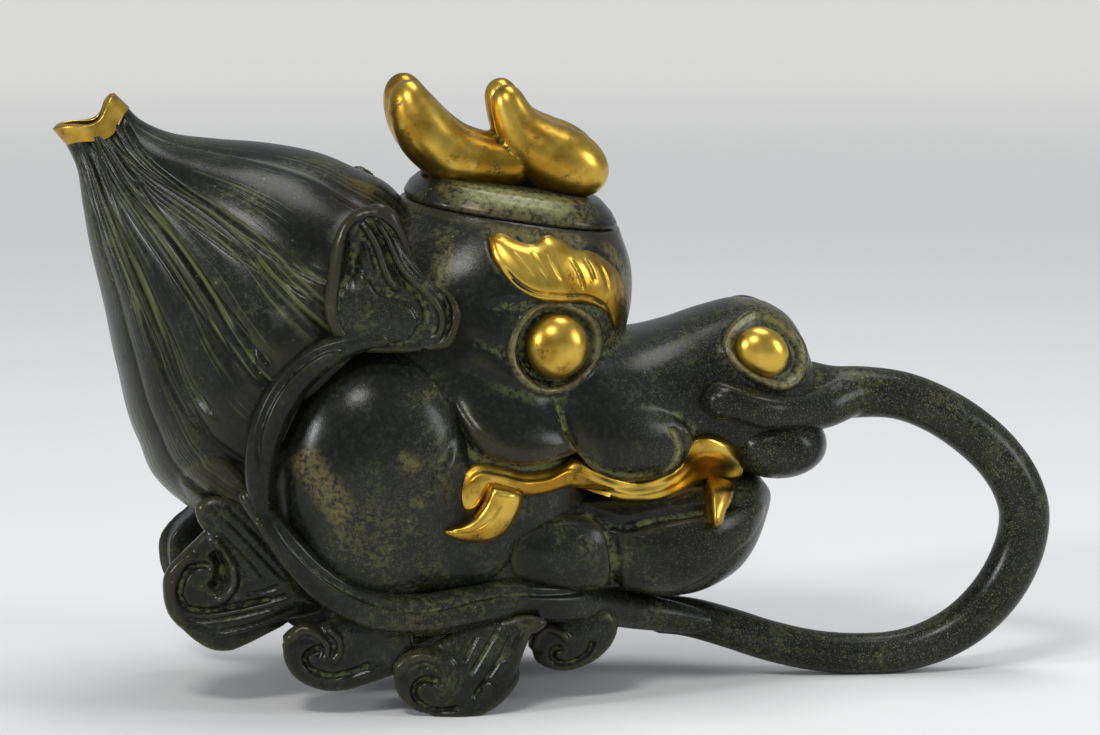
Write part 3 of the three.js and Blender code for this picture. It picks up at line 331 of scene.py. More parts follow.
def applied(obj):
    """The object's mesh with its modifiers worked in."""
    depsgraph = bpy.context.evaluated_depsgraph_get()
    mesh = bpy.data.meshes.new_from_object(obj.evaluated_get(depsgraph))
    old = obj.data
    obj.modifiers.clear()
    obj.data = mesh
    mesh.name = obj.name
    bpy.data.meshes.remove(old)
    return obj


def cast(bm, name, step, rounds):
    """The forms in bm melted into one skin of even faces about step wide, and softened."""
    obj = built(bm, name)
    melt = obj.modifiers.new("melt", "REMESH")
    melt.mode = "VOXEL"
    melt.voxel_size = step
    soften = obj.modifiers.new("soften", "SMOOTH")
    soften.factor = 0.5
    soften.iterations = rounds
    return applied(obj)


def arrays(mesh):
    """Vertex places, vertex normals and edges of a mesh."""
    count = len(mesh.vertices)
    co = np.empty(count * 3)
    mesh.vertices.foreach_get("co", co)
    normals = np.empty(count * 3)
    mesh.vertex_normals.foreach_get("vector", normals)
    edges = np.empty(len(mesh.edges) * 2, np.int64)
    mesh.edges.foreach_get("vertices", edges)
    return co.reshape(-1, 3), normals.reshape(-1, 3), edges.reshape(-1, 2)


def averaged(values, edges, rounds):
    """Values spread to their neighbours over the mesh."""
    count = len(values)
    ends = np.concatenate((edges[:, 0], edges[:, 1]))
    others = np.concatenate((edges[:, 1], edges[:, 0]))
    share = np.maximum(np.bincount(ends, minlength=count), 1)
    for _ in range(rounds):
        near = np.column_stack([
            np.bincount(ends, column[others], minlength=count) for column in values.T
        ])
        values = (values + near / share[:, None]) / 2
    return values


def distance_to(points, line):
    """Least distance of points to a line of straight runs, and the share of its length there."""
    best = np.full(len(points), np.inf)
    share = np.zeros(len(points))
    steps = np.linalg.norm(np.diff(line, axis=0), axis=1)
    run = np.concatenate(([0], np.cumsum(steps)))
    for k in range(len(line) - 1):
        span = line[k + 1] - line[k]
        t = np.clip(((points - line[k]) @ span) / max(span @ span, TINY), 0, 1)
        gap = np.linalg.norm(points - line[k] - t[:, None] * span, axis=1)
        closer = gap < best
        best[closer] = gap[closer]
        share[closer] = (run[k] + t[closer] * steps[k]) / run[-1]
    return best, share


def within(points, line):
    """Which points lie inside a closed drawn line."""
    x, y = points[:, 0], points[:, 1]
    inside = np.zeros(len(points), bool)
    for (ax, ay), (bx, by) in zip(line, np.roll(line, -1, axis=0)):
        crosses = (ay > y) != (by > y)
        with np.errstate(divide="ignore", invalid="ignore"):
            inside ^= crosses & (x < (bx - ax) * (y - ay) / (by - ay) + ax)
    return inside


def line_mark(height, width, text, fade=0.12):
    """A raised (or, below zero, cut) line: height in mm, half width in drawing units."""
    knots = pairs(text)
    if (knots[0] == knots[-1]).all():
        knots = np.vstack((knots[-3:-1], knots, knots[1:3]))
    line = through(knots, max(12, LINE_DETAIL * len(knots)))

    def lift(points):
        gap, share = distance_to(points, line)
        body = np.clip(1 - (gap / width) ** 2, 0, None) ** 2
        if fade > 0:
            body = body * ease(np.minimum(share, 1 - share), FADE_START, fade)
        return height * body
    return lift, line.min(0) - width, line.max(0) + width


def line_marks(height, width, fade, *texts):
    """Lines of one kind."""
    return [line_mark(height, width, text, fade) for text in texts]


def area_mark(height, width, text):
    """A raised or sunk area: height in mm, its shoulder's width in drawing units."""
    line = ring_through(text, AREA_DETAIL * len(pairs(text)))

    def lift(points):
        gap, _ = distance_to(points, line)
        return height * rounded_end(gap, width) * within(points, line[:-1])
    return lift, line.min(0), line.max(0)


def swell_mark(height, width, text, top, full):
    """A raised area that swells from nothing at the drawn height top to all of it at full."""
    lift, low, high = area_mark(height, width, text)
    return (lambda points: lift(points) * ease(points[:, 1], top, full)), low, high


def marked(co, normals, marks, face):
    """How much of the drawn marks falls on each point of a skin, near and far side alike."""
    side = np.where(co[:, 1:2] > 0, -1.0, 1.0) * (0, 1, 0) + (1, 0, 1)
    near = co * side
    weight = ease(((normals * side) * unit(EYE - near)).sum(1), *face)
    seen = drawn(near)
    total = np.zeros(len(co))
    for mark, low, high in marks:
        chosen = ((seen > low) & (seen < high)).all(1) & (weight > 0)
        if chosen.any():
            total[chosen] += mark(seen[chosen])
    return total * weight


def reshape(obj, co):
    """Moves all points of a piece."""
    obj.data.vertices.foreach_set("co", co.ravel())
    obj.data.update()


def note(obj, name, values):
    """Keeps a number for each point, for the patina."""
    layer = obj.data.attributes.new(name, "FLOAT", "POINT")
    layer.data.foreach_set("value", values.astype(np.float32))


def stain(obj, marks):
    """Keeps where the skin is rubbed brown (up to 1) and worn pale (up to 2)."""
    co, normals, _ = arrays(obj.data)
    note(obj, "rub", marked(co, normals, marks, face=(0.0, 0.3)))


def stand(obj):
    """Flattens the sole on the floor."""
    co, _, _ = arrays(obj.data)
    co[:, 2] = np.maximum(co[:, 2], 0)
    reshape(obj, co)


def chase(obj, marks, spread=4, face=(0.0, 0.35)):
    """Works drawn marks into a skin on both sides, along its softened normals."""
    co, normals, edges = arrays(obj.data)
    soft = unit(averaged(normals, edges, spread))
    reshape(obj, co + soft * (marked(co, soft, marks, face) * MM)[:, None])


def note_relief(obj, rounds=24):
    """Keeps how proud (above zero) or sunk each point lies, in mm."""
    co, normals, edges = arrays(obj.data)
    height = ((co - averaged(co, edges, rounds)) * normals).sum(1) / MM
    note(obj, "relief", averaged(height[:, None], edges, 2)[:, 0])


def thin(obj):
    """Fewer faces, where a skin has more triangles than it needs."""
    triangles = sum(len(p.vertices) - 2 for p in obj.data.polygons)
    if triangles > TRIANGLE_LIMIT:
        fewer = obj.modifiers.new("fewer", "DECIMATE")
        fewer.ratio = TRIANGLE_LIMIT / triangles
        applied(obj)


def twin(obj, name):
    """The mirror image across Y = 0."""
    bm = bmesh.new()
    bm.from_mesh(obj.data)
    bmesh.ops.scale(bm, vec=(1, -1, 1), verts=bm.verts)
    bmesh.ops.reverse_faces(bm, faces=bm.faces)
    return meshed(bm, name)


def finish(obj, material, body, slot, *nodes):
    """Gives a piece its material, its body and the nodes that it stands for. The slot is not used.
    """
    obj.data.materials.clear()
    obj.data.materials.append(material)
    obj.data.polygons.foreach_set("use_smooth", np.ones(len(obj.data.polygons), bool))
    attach(obj, body)
    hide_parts(*nodes)


def finish_pair(obj, material, body, slot, stem):
    """The near piece and its twin, in place of the right and left nodes."""
    other = twin(obj, obj.name.replace("_near", "_far"))
    finish(obj, material, body, slot, f"{stem}_right")
    finish(other, material, body, slot, f"{stem}_left")


# Materials

class Socket:
    """A node's output with the usual signs of arithmetic."""

    def __init__(self, tree, output):
        self.tree, self.output = tree, output

    def maths(self, operation, *values):
        return node(self.tree, "ShaderNodeMath", {"operation": operation}, dict(enumerate(values)))

    def __add__(self, other):
        return self.maths("ADD", self, other)

    def __sub__(self, other):
        return self.maths("SUBTRACT", self, other)

    def __rsub__(self, other):
        return self.maths("SUBTRACT", other, self)

    def __mul__(self, other):
        return self.maths("MULTIPLY", self, other)

    __radd__ = __add__
    __rmul__ = __mul__

    def soft(self, low, high):
        """0 below low, 1 above high."""
        return node(self.tree, "ShaderNodeMapRange", {"interpolation_type": "SMOOTHSTEP"},
                    {"Value": self, "From Min": low, "From Max": high})


def feed(made, inputs):
    """Links or sets the sockets of a node."""
    for key, value in inputs.items():
        if isinstance(value, Socket):
            value.tree.links.new(value.output, made.inputs[key])
        else:
            made.inputs[key].default_value = value


def node(tree, kind, settings=None, inputs=None, output=0):
    """Adds a node: its settings first, then the values or links of its sockets."""
    made = tree.nodes.new(kind)
    for key, value in (settings or {}).items():
        setattr(made, key, value)
    feed(made, inputs or {})
    return Socket(tree, made.outputs[output])


def mixed(share, first, second):
    """A colour between two colours."""
    first, second = (c if isinstance(c, Socket) else (*c, 1) for c in (first, second))
    return node(share.tree, "ShaderNodeMix", {"data_type": "RGBA", "clamp_factor": True},
                {0: share, 6: first, 7: second}, 2)


def noise(place, scale, detail=3.0, rough=0.55):
    return node(place.tree, "ShaderNodeTexNoise", {}, {
        "Vector": place, "Scale": scale, "Detail": detail, "Roughness": rough})


def attribute(tree, name, output="Fac"):
    return node(tree, "ShaderNodeAttribute", {"attribute_name": name}, output=output)


def axis_of(vector, number):
    return node(vector.tree, "ShaderNodeSeparateXYZ", {}, {0: vector}, number)


def bump(height, strength, distance):
    return node(height.tree, "ShaderNodeBump", {}, {
        "Height": height, "Strength": strength, "Distance": distance})


def new_material(name):
    """A material, its tree, its shader and the object's coordinates."""
    material = bpy.data.materials.new(name)
    material.use_nodes = True
    tree = material.node_tree
    tree.nodes.clear()
    shader = tree.nodes.new("ShaderNodeBsdfPrincipled")
    out = tree.nodes.new("ShaderNodeOutputMaterial")
    feed(out, {"Surface": Socket(tree, shader.outputs[0])})
    return material, tree, shader, node(tree, "ShaderNodeTexCoord", output="Object")


def bronze(context):
    """Dark cast bronze: rubbed on the high places, green in the low ones, pitted and speckled."""
    found = bpy.data.materials.get("patinated_bronze")
    if found:
        return found
    looks = context.scene.teapot_looks
    material, tree, shader, place = new_material("patinated_bronze")
    relief, rub = attribute(tree, "relief"), attribute(tree, "rub")
    broad, medium, fine = noise(place, 45), noise(place, 190), noise(place, 900, 4, 0.65)
    grain = noise(place, 2600, 2)

    # The mane's strands: noise drawn out along its flow
    flow = attribute(tree, "flow", "Vector")
    on_mane = axis_of(flow, 1).soft(0.02, 0.1)
    strands = node(tree, "ShaderNodeVectorMath", {"operation": "MULTIPLY"}, {
        0: flow, 1: (1.0, 0.045, 1.0)})
    streaks = noise(strands, 34, 4, 0.6)
    hair = streaks.soft(0.53, 0.62) * broad.soft(0.36, 0.54) * on_mane
    hair = hair * (noise(strands, 3, 1, 0.6).soft(0.42, 0.56) * 0.8 + 0.2)

    # Green in the hollows, haze over all, brown where it is rubbed
    sunk = (relief * -1).soft(0.04, 0.3)
    proud = relief.soft(0.08, 0.35)
    patches = (medium * 0.4 + fine * 0.6).soft(0.44, 0.6)
    green = sunk * (patches * (1 - on_mane) + streaks.soft(0.42, 0.6) * on_mane)
    haze = (medium * 0.5 + fine * 0.5).soft(0.5, 0.64) * broad.soft(0.42, 0.6)
    rubbed = (broad.soft(0.56, 0.7) * fine.soft(0.42, 0.62) * 0.3
              + rub.soft(0, 1) * fine.soft(0.34, 0.6))

    # Pale spots, dust on the muzzle and the handle, and places worn pale
    freckles = node(tree, "ShaderNodeTexVoronoi", {"feature": "F1"}, {
        "Vector": place, "Scale": 520.0, "Randomness": 1.0})
    speck = (1 - freckles.soft(0.07, 0.17)) * medium.soft(0.54, 0.66)
    ahead = axis_of(place, 0).soft(0, 0.04)
    dust = noise(place, 3300, 2).soft(0.57, 0.66) * (broad.soft(0.42, 0.62) * 0.4 + ahead * 0.6)
    pale = rub.soft(1, 2) * (fine * 0.5 + streaks * 0.5).soft(0.3, 0.6)

    colour = mixed(broad.soft(0.38, 0.62) * 0.5 + fine.soft(0.42, 0.7) * 0.5,
                   looks.bronze_dark, looks.bronze_light)
    colour = mixed(rubbed + proud * 0.2, colour, looks.rubbed)
    colour = mixed(green * 0.9 + haze * 0.3 + hair * 0.6, colour, looks.verdigris)
    height = fine * 0.5 + grain * 0.35 - speck * 0.6 - hair * 1.2 + dust * 0.3
    feed(shader, {
        "Base Color": mixed(speck * 0.5 + dust * 0.5 + pale, colour, looks.speckle),
        "Roughness": 0.16 + fine * 0.16 + green * 0.25 + haze * 0.15 + hair * 0.15,
        "Metallic": 0.1,
        "Specular IOR Level": 0.2,
        "Normal": bump(height, 0.8, looks.grain_depth),
    })
    return material


def gilding(context):
    """Worn fire gilding: bright on the high places, dark and greenish where it has gone, with
    painted shade as broad patches of a darker, more orange gold.
    """
    found = bpy.data.materials.get("worn_gilding")
    if found:
        return found
    looks = context.scene.teapot_looks
    material, tree, shader, place = new_material("worn_gilding")
    broad, medium = noise(place, 90, rough=0.6), noise(place, 330, rough=0.6)
    fine = noise(place, 1700, 4, 0.6)
    sunk = (attribute(tree, "relief") * -1).soft(0.01, 0.15)
    worn = (medium * 0.6 + fine * 0.4).soft(0.5, 0.64) * broad.soft(0.4, 0.62) * 0.8
    worn = worn + sunk * fine.soft(0.34, 0.56) * 0.9
    # Painted shade: broad noise patches mix the gold towards a darker, more orange shaded copy of
    # it.
    colour = mixed(broad.soft(0.35, 0.65), looks.gold, looks.gold_painted_shade)
    feed(shader, {
        "Base Color": mixed(worn, colour, looks.gold_worn),
        "Roughness": 0.24 + fine * 0.14 + worn * 0.25,
        "Metallic": 1,
        "Normal": bump(medium * 0.7 + fine * 0.3 - worn * 0.3, 0.3, looks.grain_depth),
    })
    return material


# Sizes and colours that a user would change

class TeapotSizes(bpy.types.PropertyGroup):
    """Steps of the modelled skins and depths of the chased work."""

    skin_step: bpy.props.FloatProperty(
        name="Skin step", description="Width of the faces of the large castings",
        default=0.5 * MM, min=0.2 * MM, unit="LENGTH", precision=5)
    fine_step: bpy.props.FloatProperty(
        name="Fine step", description="Width of the faces of the small castings",
        default=0.35 * MM, min=0.15 * MM, unit="LENGTH", precision=5)
    gilt_rise: bpy.props.FloatProperty(
        name="Gilt rise", description="How far the gilded inlays stand over the bronze",
        default=0.7 * MM, min=0.1 * MM, unit="LENGTH", precision=5)


class TeapotLooks(bpy.types.PropertyGroup):
    """Colours of the bronze, the gilding and the floor."""

    bronze_dark: bpy.props.FloatVectorProperty(
        name="Dark bronze", description="Colour of the bronze in its darker areas",
        subtype="COLOR", default=(0.007, 0.0078, 0.006), min=0, max=1)
    bronze_light: bpy.props.FloatVectorProperty(
        name="Light bronze", description="Colour of the bronze in its lighter areas",
        subtype="COLOR", default=(0.02, 0.0225, 0.015), min=0, max=1)
    rubbed: bpy.props.FloatVectorProperty(
        name="Rubbed bronze", description="Brown of the bronze where hands have rubbed it",
        subtype="COLOR", default=(0.095, 0.08, 0.034), min=0, max=1)
    verdigris: bpy.props.FloatVectorProperty(
        name="Verdigris", description="Green in the hollows and lines",
        subtype="COLOR", default=(0.1, 0.115, 0.042), min=0, max=1)
    speckle: bpy.props.FloatVectorProperty(
        name="Speckle", description="Pale green of the small spots",
        subtype="COLOR", default=(0.21, 0.21, 0.1), min=0, max=1)
    gold: bpy.props.FloatVectorProperty(
        name="Gold", description="Colour of the fresh gilding",
        subtype="COLOR", default=(0.64, 0.43, 0.075), min=0, max=1)
    # A shaded copy of the gold, used as painted shade in broad patches.
    gold_painted_shade: bpy.props.FloatVectorProperty(
        name="Gold in painted shade", description="Painted shade: a darker, more orange copy of the gold",
        subtype="COLOR", default=(0.33, 0.175, 0.018), min=0, max=1)
    gold_worn: bpy.props.FloatVectorProperty(
        name="Worn gold", description="Colour where the gilding has worn through",
        subtype="COLOR", default=(0.045, 0.04, 0.014), min=0, max=1)
    grain_depth: bpy.props.FloatProperty(
        name="Grain depth", description="Depth of the cast grain of the surfaces",
        default=0.06 * MM, min=0, unit="LENGTH", precision=5)
    floor: bpy.props.FloatVectorProperty(
        name="Floor", description="Colour of the floor",
        subtype="COLOR", default=(0.78, 0.78, 0.77), min=0, max=1)


# Pieces

LID_X = -9.94 * MM
LID_HALF_LENGTH = 20.8 * MM
LID_HALF_WIDTH = 20.2 * MM
LID_THICKNESS = 5.5 * MM
LID_POWER = 2.6
SEAT_REAR = 99 * MM
SEAT_FRONT = 92.6 * MM
SEAT_GAP = 0.3 * MM
MOUTH_HALF_LENGTH = 15.5 * MM
MOUTH_HALF_WIDTH = 14 * MM
FORM_POWER = 2.3
HEAD_ROUNDING = 0.05
MUZZLE_ROUNDING = 0.12
FAR_OFF = 1.0


def fine_step(context):
    return context.scene.teapot_sizes.fine_step


def skin_step(context):
    return context.scene.teapot_sizes.skin_step


def seat_at(x):
    """Height of the lid's seam over a place along the head."""
    share = (x - LID_X + LID_HALF_LENGTH) / (2 * LID_HALF_LENGTH)
    return SEAT_REAR + (SEAT_FRONT - SEAT_REAR) * share


def head_section(height):
    """Middle, half length and half width of the head at a height."""
    rear, front, half = np.moveaxis(
        smooth(HEAD_SHARES, (height - HEAD_FLOOR) / (HEAD_CROWN - HEAD_FLOOR)), -1, 0)
    low, high = rear * HEAD_REAR, front * HEAD_FRONT
    return (low + high) / 2, (high - low) / 2, half * HEAD_HALF_WIDTH


def head_rear_at(side, height):
    """Where the head's rear lies at a side distance and height, or far off past the head."""
    middle, reach, half = head_section(height)
    out = np.clip(np.abs(side) / half, 0, 1)
    rear = middle - reach * (1 - out ** FORM_POWER) ** (1 / FORM_POWER)
    return np.where(np.abs(side) < half, rear, FAR_OFF)


def head_form(bm):
    def place(turn, way):
        height = HEAD_FLOOR + (HEAD_CROWN - HEAD_FLOOR) * way
        middle, reach, half = head_section(height)
        left = rounded_end(np.minimum(way, 1 - way), HEAD_ROUNDING)
        c, s = round_section(turn, FORM_POWER)
        return stack(middle + reach * c * left, half * s * left, height)
    wrap(bm, place, around=96, along=90)


def muzzle_form(bm, shares, root, front, base, crest, half_width):
    """A muzzle or a jaw that grows out of the head, its sections measured from base to crest."""
    def place(turn, way):
        left = np.where(way <= 0, 0, rounded_end(1 - way, MUZZLE_ROUNDING))
        high, low, half = np.moveaxis(smooth(shares, way), -1, 0)
        c, s = round_section(turn, FORM_POWER)
        return stack(root + (front - root) * way, half_width * half * s * left,
                     base + (crest - base) * ((high + low) / 2 + (high - low) / 2 * c * left))
    wrap(bm, place, around=80, along=90)


BROW_LINE = ("488,238 500,235 518,243 534,246 546,237 560,241 574,250 590,253 603,260 614,270 "
             "621,283 624,299 621,314 615,330 609,316 600,307 585,303 560,302 540,300 524,292 "
             "509,279 497,266 490,252")
HEAD_MARKS = (
    area_mark(1.2, 22, BROW_LINE),
    line_mark(-0.9, 11, "470,312 500,307 534,306 560,306 585,309 600,318 607,332", 0.3),
    line_mark(0.9, 6, "536,309 520,327 512,350 517,371 531,386 550,391 569,386 586,373 597,354 "
              "598,335 590,318 574,309 556,306 536,309", 0),
    line_mark(-1.7, 8, "543,314 528,328 521,350 526,368 541,379 556,381 571,375 584,360 589,342 "
              "583,324 570,315 556,312 543,314", 0),
    line_mark(0.8, 16, "452,352 470,357 493,368 520,381 545,394", 0.3),
    line_mark(-0.5, 14, "462,335 482,345 500,352 508,362", 0.4),
    line_mark(1.2, 6, "726,344 740,321 754,313 767,316 781,324 795,338 802,352 801,368 795,381 "
              "780,387 762,381 745,371 732,359 726,344", 0),
    line_mark(-0.7, 6, "738,346 744,334 757,325 771,325 784,335 794,350 794,366 785,375 770,374 "
              "750,367 740,356 738,346", 0),
    line_mark(0.8, 8, "800,330 810,347 815,363 811,384 799,396", 0.25),
    swell_mark(4.6, 18, "448,380 480,376 520,380 551,394 559,414 566,436 572,450 554,460 526,466 "
               "499,463 482,457 470,444 460,424", 384, 446),
    swell_mark(4.4, 18, "556,392 590,396 630,402 662,410 684,422 690,438 684,453 673,464 658,472 "
               "637,477 614,476 594,465 578,452 568,438 560,415", 398, 452),
    line_mark(0.9, 5, "678,422 689,434 691,450 683,466 668,476", 0.15),
    line_mark(0.7, 4, "557,412 564,427 574,446 590,463 612,473 634,476 656,471", 0.15),
    line_mark(-0.9, 5, "664,424 675,436 677,452 669,466 656,474", 0.15),
)
HEAD_STAINS = (
    line_mark(1.7, 8, "728,346 742,323 756,316 769,319 784,328 797,342 803,356 799,374 786,384 "
              "765,380 746,369 733,357 728,346", 0),
    line_mark(1.6, 7, "536,311 521,329 513,350 518,370 531,385 550,390 569,385 585,372 596,354 "
              "597,335 589,319 574,310 556,307 536,311", 0),
    line_mark(1.7, 6, "664,424 676,437 679,452 671,466 658,476", 0.2),
    line_mark(1.3, 9, "603,345 616,336 626,330", 0.2),
    line_mark(1.6, 5, "557,412 564,427 574,446 590,463 612,473 636,476 660,471", 0.15),
    line_mark(1.5, 6, "468,444 478,456 497,464 522,468 545,464 562,455", 0.2),
    line_mark(1.4, 10, "722,306 745,299 770,303 790,318 804,338", 0.3),
    line_mark(1.4, 9, "598,238 616,258 625,288 622,318", 0.3),
    line_mark(1.3, 16, "432,222 444,250 438,288 446,320", 0.4),
    line_mark(1.3, 12, "470,228 520,236 565,240 600,244", 0.3),
)
CUP_HEIGHTS = (88 * MM, 78 * MM, 66 * MM, 54 * MM, 42 * MM, 32 * MM, 24 * MM)


def open_under_lid(head):
    """Cuts the crown away at the lid's seam and works the rim down into a hollow bowl."""
    bm = bmesh.new()
    bm.from_mesh(head.data)
    tilt = Vector((SEAT_REAR - SEAT_FRONT, 0, 2 * LID_HALF_LENGTH)).normalized()
    cut(bm, (LID_X, 0, seat_at(LID_X) - SEAT_GAP / 2), tilt)

    def ring(centre, length, width, height):
        """The next ring inwards: an oval at a height, or on the seam's slope."""
        nonlocal rim
        made = bmesh.ops.extrude_edge_only(bm, edges=rim)["geom"]
        rim = only(made, bmesh.types.BMEdge)
        for vert in only(made, bmesh.types.BMVert):
            angle = math.atan2(vert.co.y / LID_HALF_WIDTH, (vert.co.x - LID_X) / LID_HALF_LENGTH)
            c, s = round_section(angle, LID_POWER)
            x = centre + length * c
            vert.co = (x, width * s, seat_at(x) - height if height < HEAD_FLOOR else height)

    rim = rim_of(bm)
    ring(LID_X, MOUTH_HALF_LENGTH, MOUTH_HALF_WIDTH, SEAT_GAP)
    ring(LID_X, MOUTH_HALF_LENGTH, MOUTH_HALF_WIDTH, 2 * HEAD_WALL)
    for height in CUP_HEIGHTS:
        middle, reach, half = (float(v) for v in head_section(height))
        ring(middle, reach - HEAD_WALL, half - HEAD_WALL, height)
    bmesh.ops.holes_fill(bm, edges=rim, sides=0)
    bmesh.ops.recalc_face_normals(bm, faces=bm.faces)
    bm.to_mesh(head.data)
    bm.free()


class TEAPOT_OT_head(bpy.types.Operator):
    """Head, muzzle and hanging upper lips in one casting, open under the lid"""
    bl_idname = "teapot.head"
    bl_label = "Head"

    def execute(self, context):
        bm = bmesh.new()
        head_form(bm)
        muzzle_form(bm, SNOUT_SHARES, SNOUT_ROOT, SNOUT_REACH, MOUTH_HEIGHT, SNOUT_TOP,
                    SNOUT_HALF_WIDTH)
        head = cast(bm, "head_casting", skin_step(context), rounds=14)
        chase(head, HEAD_MARKS)
        open_under_lid(head)
        thin(head)
        stain(head, HEAD_STAINS)
        note_relief(head)
        finish(head, bronze(context), "vessel", "bronze", "head_shell", "snout", *[
            f"{stem}_{side}" for side in ("right", "left")
            for stem in ("eye_ring", "nostril_ring", "upper_lip_rear", "upper_lip_front")])
        return {"FINISHED"}


JAW_MARKS = (
    line_mark(-1.3, 8, "500,523 522,519 545,512 568,508 586,511 604,519 625,526 648,520 673,515 "
              "703,510 740,503"),
    line_mark(-1.3, 8, "506,535 503,561 508,590", 0.05),
    line_mark(-1.3, 9, "606,524 614,547 616,570 613,588", 0.05),
    area_mark(0.8, 20, "509,530 545,517 575,514 602,524 610,548 609,582 560,590 513,588 507,560"),
    area_mark(0.8, 24, "619,535 650,528 700,517 745,506 765,503 755,532 728,558 699,581 660,594 "
              "620,588"),
)


class TEAPOT_OT_jaw(bpy.types.Operator):
    """Lower jaw with its lobed lip"""
    bl_idname = "teapot.jaw"
    bl_label = "Jaw"

    def execute(self, context):
        bm = bmesh.new()
        muzzle_form(bm, JAW_SHARES, JAW_ROOT, JAW_REACH, JAW_TOP, JAW_FLOOR, JAW_HALF_WIDTH)
        jaw = cast(bm, "jaw_casting", skin_step(context), rounds=10)
        chase(jaw, JAW_MARKS)
        note_relief(jaw)
        finish(jaw, bronze(context), "vessel", "bronze", "lower_jaw")
        return {"FINISHED"}


def groove_drop(turn):
    """How far the mane lies under the crests of its lobes at a turn from its top."""
    half = [(share * math.pi, depth) for share, depth in GROOVE_SHARES]
    rows = half + [(math.tau - at, depth) for at, depth in reversed(half)]
    rows = [(rows[-1][0] - math.tau, rows[-1][1]), *rows, (rows[0][0] + math.tau, rows[0][1])]
    at, depths = np.array(rows).T
    lobe = np.clip(np.searchsorted(at, turn, side="right") - 1, 0, len(at) - 2)
    part = (turn - at[lobe]) / (at[lobe + 1] - at[lobe])
    depth = depths[lobe] + (depths[lobe + 1] - depths[lobe]) * part
    return depth * (1 - np.sqrt(np.maximum(0, np.sin(math.pi * part))))


def mane_ring(turn, shares, deeper, wider):
    """A place on an oval ring of the mane or its lip, let in or out by a little."""
    top_x, top_z, rear_x, rear_z, half = shares
    top = stack(-SPOUT_REACH * top_x, 0, SPOUT_HEIGHT * top_z)
    rear = stack(-SPOUT_REACH * rear_x, 0, SPOUT_HEIGHT * rear_z)
    middle, to_top = (top + rear) / 2, (top - rear) / 2
    reach = np.linalg.norm(to_top, axis=-1, keepdims=True)
    return (middle + to_top / reach * (reach + deeper) * np.cos(turn)[..., None]
            + ACROSS * np.sin(turn)[..., None] * ((MANE_HALF_WIDTH * half)[..., None] + wider))


def mane_point(turn, way, inset, depth):
    """A place on the mane: turn from its top, way from the lip to the root."""
    out = -((depth * groove_drop(turn))[..., None] + inset)
    return mane_ring(turn, np.moveaxis(smooth(MANE_SHARES, way), -1, 0), out, out)


MANE_MARKS = (
    *line_marks(
        -0.85, 6, 0.05,
        "84,132 110,172 134,212 166,258 198,306 230,346 262,384",
        "97,124 124,164 150,206 182,250 214,298 246,336 276,372",
        "73,138 86,172 98,206 116,254 136,302 157,349 177,396 205,430",
        "84,134 98,168 111,200 129,248 149,296 170,342 190,388 218,420",
        "119,112 142,156 171,182 206,206 256,242 294,265 334,284",
        "106,118 129,166 156,194 192,220 244,256 282,279 326,302",
    ),
    line_mark(-0.35, 3, "239,285 256,299 273,313", 0.2),
    line_mark(-0.9, 5, "250,352 251,356 252,360", 0),
    line_mark(-0.3, 3, "122,360 135,355 148,353", 0.2),
    area_mark(1.0, 14, "179,480 188,468 206,458 228,460 243,473 246,492 266,526 292,560 318,592 "
              "300,600 262,580 232,556 208,536 190,508"),
    line_mark(0.45, 8, "184,486 189,473 206,463 226,465 240,477 247,494", 0.1),
    *line_marks(
        -0.5, 3, 0.3,
        "197,497 212,518 232,541 262,566",
        "206,491 220,510 240,533 270,559",
        "214,485 228,504 248,527 277,553",
        "223,482 236,498 255,520 284,548",
    ),
    line_mark(-0.4, 3, "232,482 243,495 262,518", 0.3),
)


# The mane's grid runs up its outside, over the lip and part of the way back inside.
MANE_OUTSIDE = 0.8
MANE_HOLLOW = 0.75
MANE_WALLS = ((0, 1.3), (0.1, 1.5), (0.3, 3), (1, 3))
GROOVE_START = 0.2
GROOVE_INSIDE = 0.5


class TEAPOT_OT_mane(bpy.types.Operator):
    """Hollow fluted mane that narrows into the spout"""
    bl_idname = "teapot.mane"
    bl_label = "Mane"

    def execute(self, context):
        bm = bmesh.new()
        flow = bm.verts.layers.float_vector.new("flow")
        made, turn, run = grid(bm, around=400, along=230)
        outside = run <= MANE_OUTSIDE
        inwards = (run - MANE_OUTSIDE) / (1 - MANE_OUTSIDE) * MANE_HOLLOW
        way = np.where(outside, 1 - run / MANE_OUTSIDE, inwards)
        wall = smooth(MANE_WALLS, way)[:, 0] * MM
        depth = GROOVE_DEPTH * ease(way, 0, GROOVE_START) * np.where(outside, 1, GROOVE_INSIDE)
        inset = np.where(outside, 0, wall)[:, None]
        where = mane_point(turn, way, inset, depth)
        none = np.zeros(len(way))
        centre = sum(mane_point(none + half, way, inset, none) for half in (0, math.pi)) / 2
        where = np.where(((run <= 0) | (run >= 1))[:, None], centre, where)
        rear = head_rear_at(where[:, 1], where[:, 2]) + HEAD_WALL / 2
        where[:, 0] = np.where(outside, np.minimum(where[:, 0], rear), where[:, 0])
        put(made, where)
        for vert, across, down in zip(made, math.pi - np.abs(math.pi - turn), way):
            vert[flow] = (across, down, 0)
        bmesh.ops.remove_doubles(bm, verts=bm.verts, dist=WELD)
        mane = built(bm, "mane_casting")
        chase(mane, MANE_MARKS, spread=10, face=(0.15, 0.65))
        note_relief(mane)
        finish(mane, bronze(context), "vessel", "bronze", "mane_spout")
        return {"FINISHED"}


LIP_START = (0.858, 0.98, 0.979, 0.922, 0.175)
LIP_END = (0.883, 1, 1, 0.944, 0.155)
LIP_NOTCH_AT = 1.5
LIP_NOTCH_WIDTH = 0.62
LIP_NOTCH_DEPTH = 0.82
LIP_SKIRT = 0.25
LIP_SKIRT_DIP = 0.75
LIP_SECTION = (  # way round the rim's section, rise, and mm outwards
    (0, 0, -0.5), (0.08, 0, 0.2), (0.42, 0.94, 0.25), (0.5, 1, -0.4), (0.58, 0.94, -1.3),
    (0.92, 0, -1.3), (1, 0, -0.5),
)


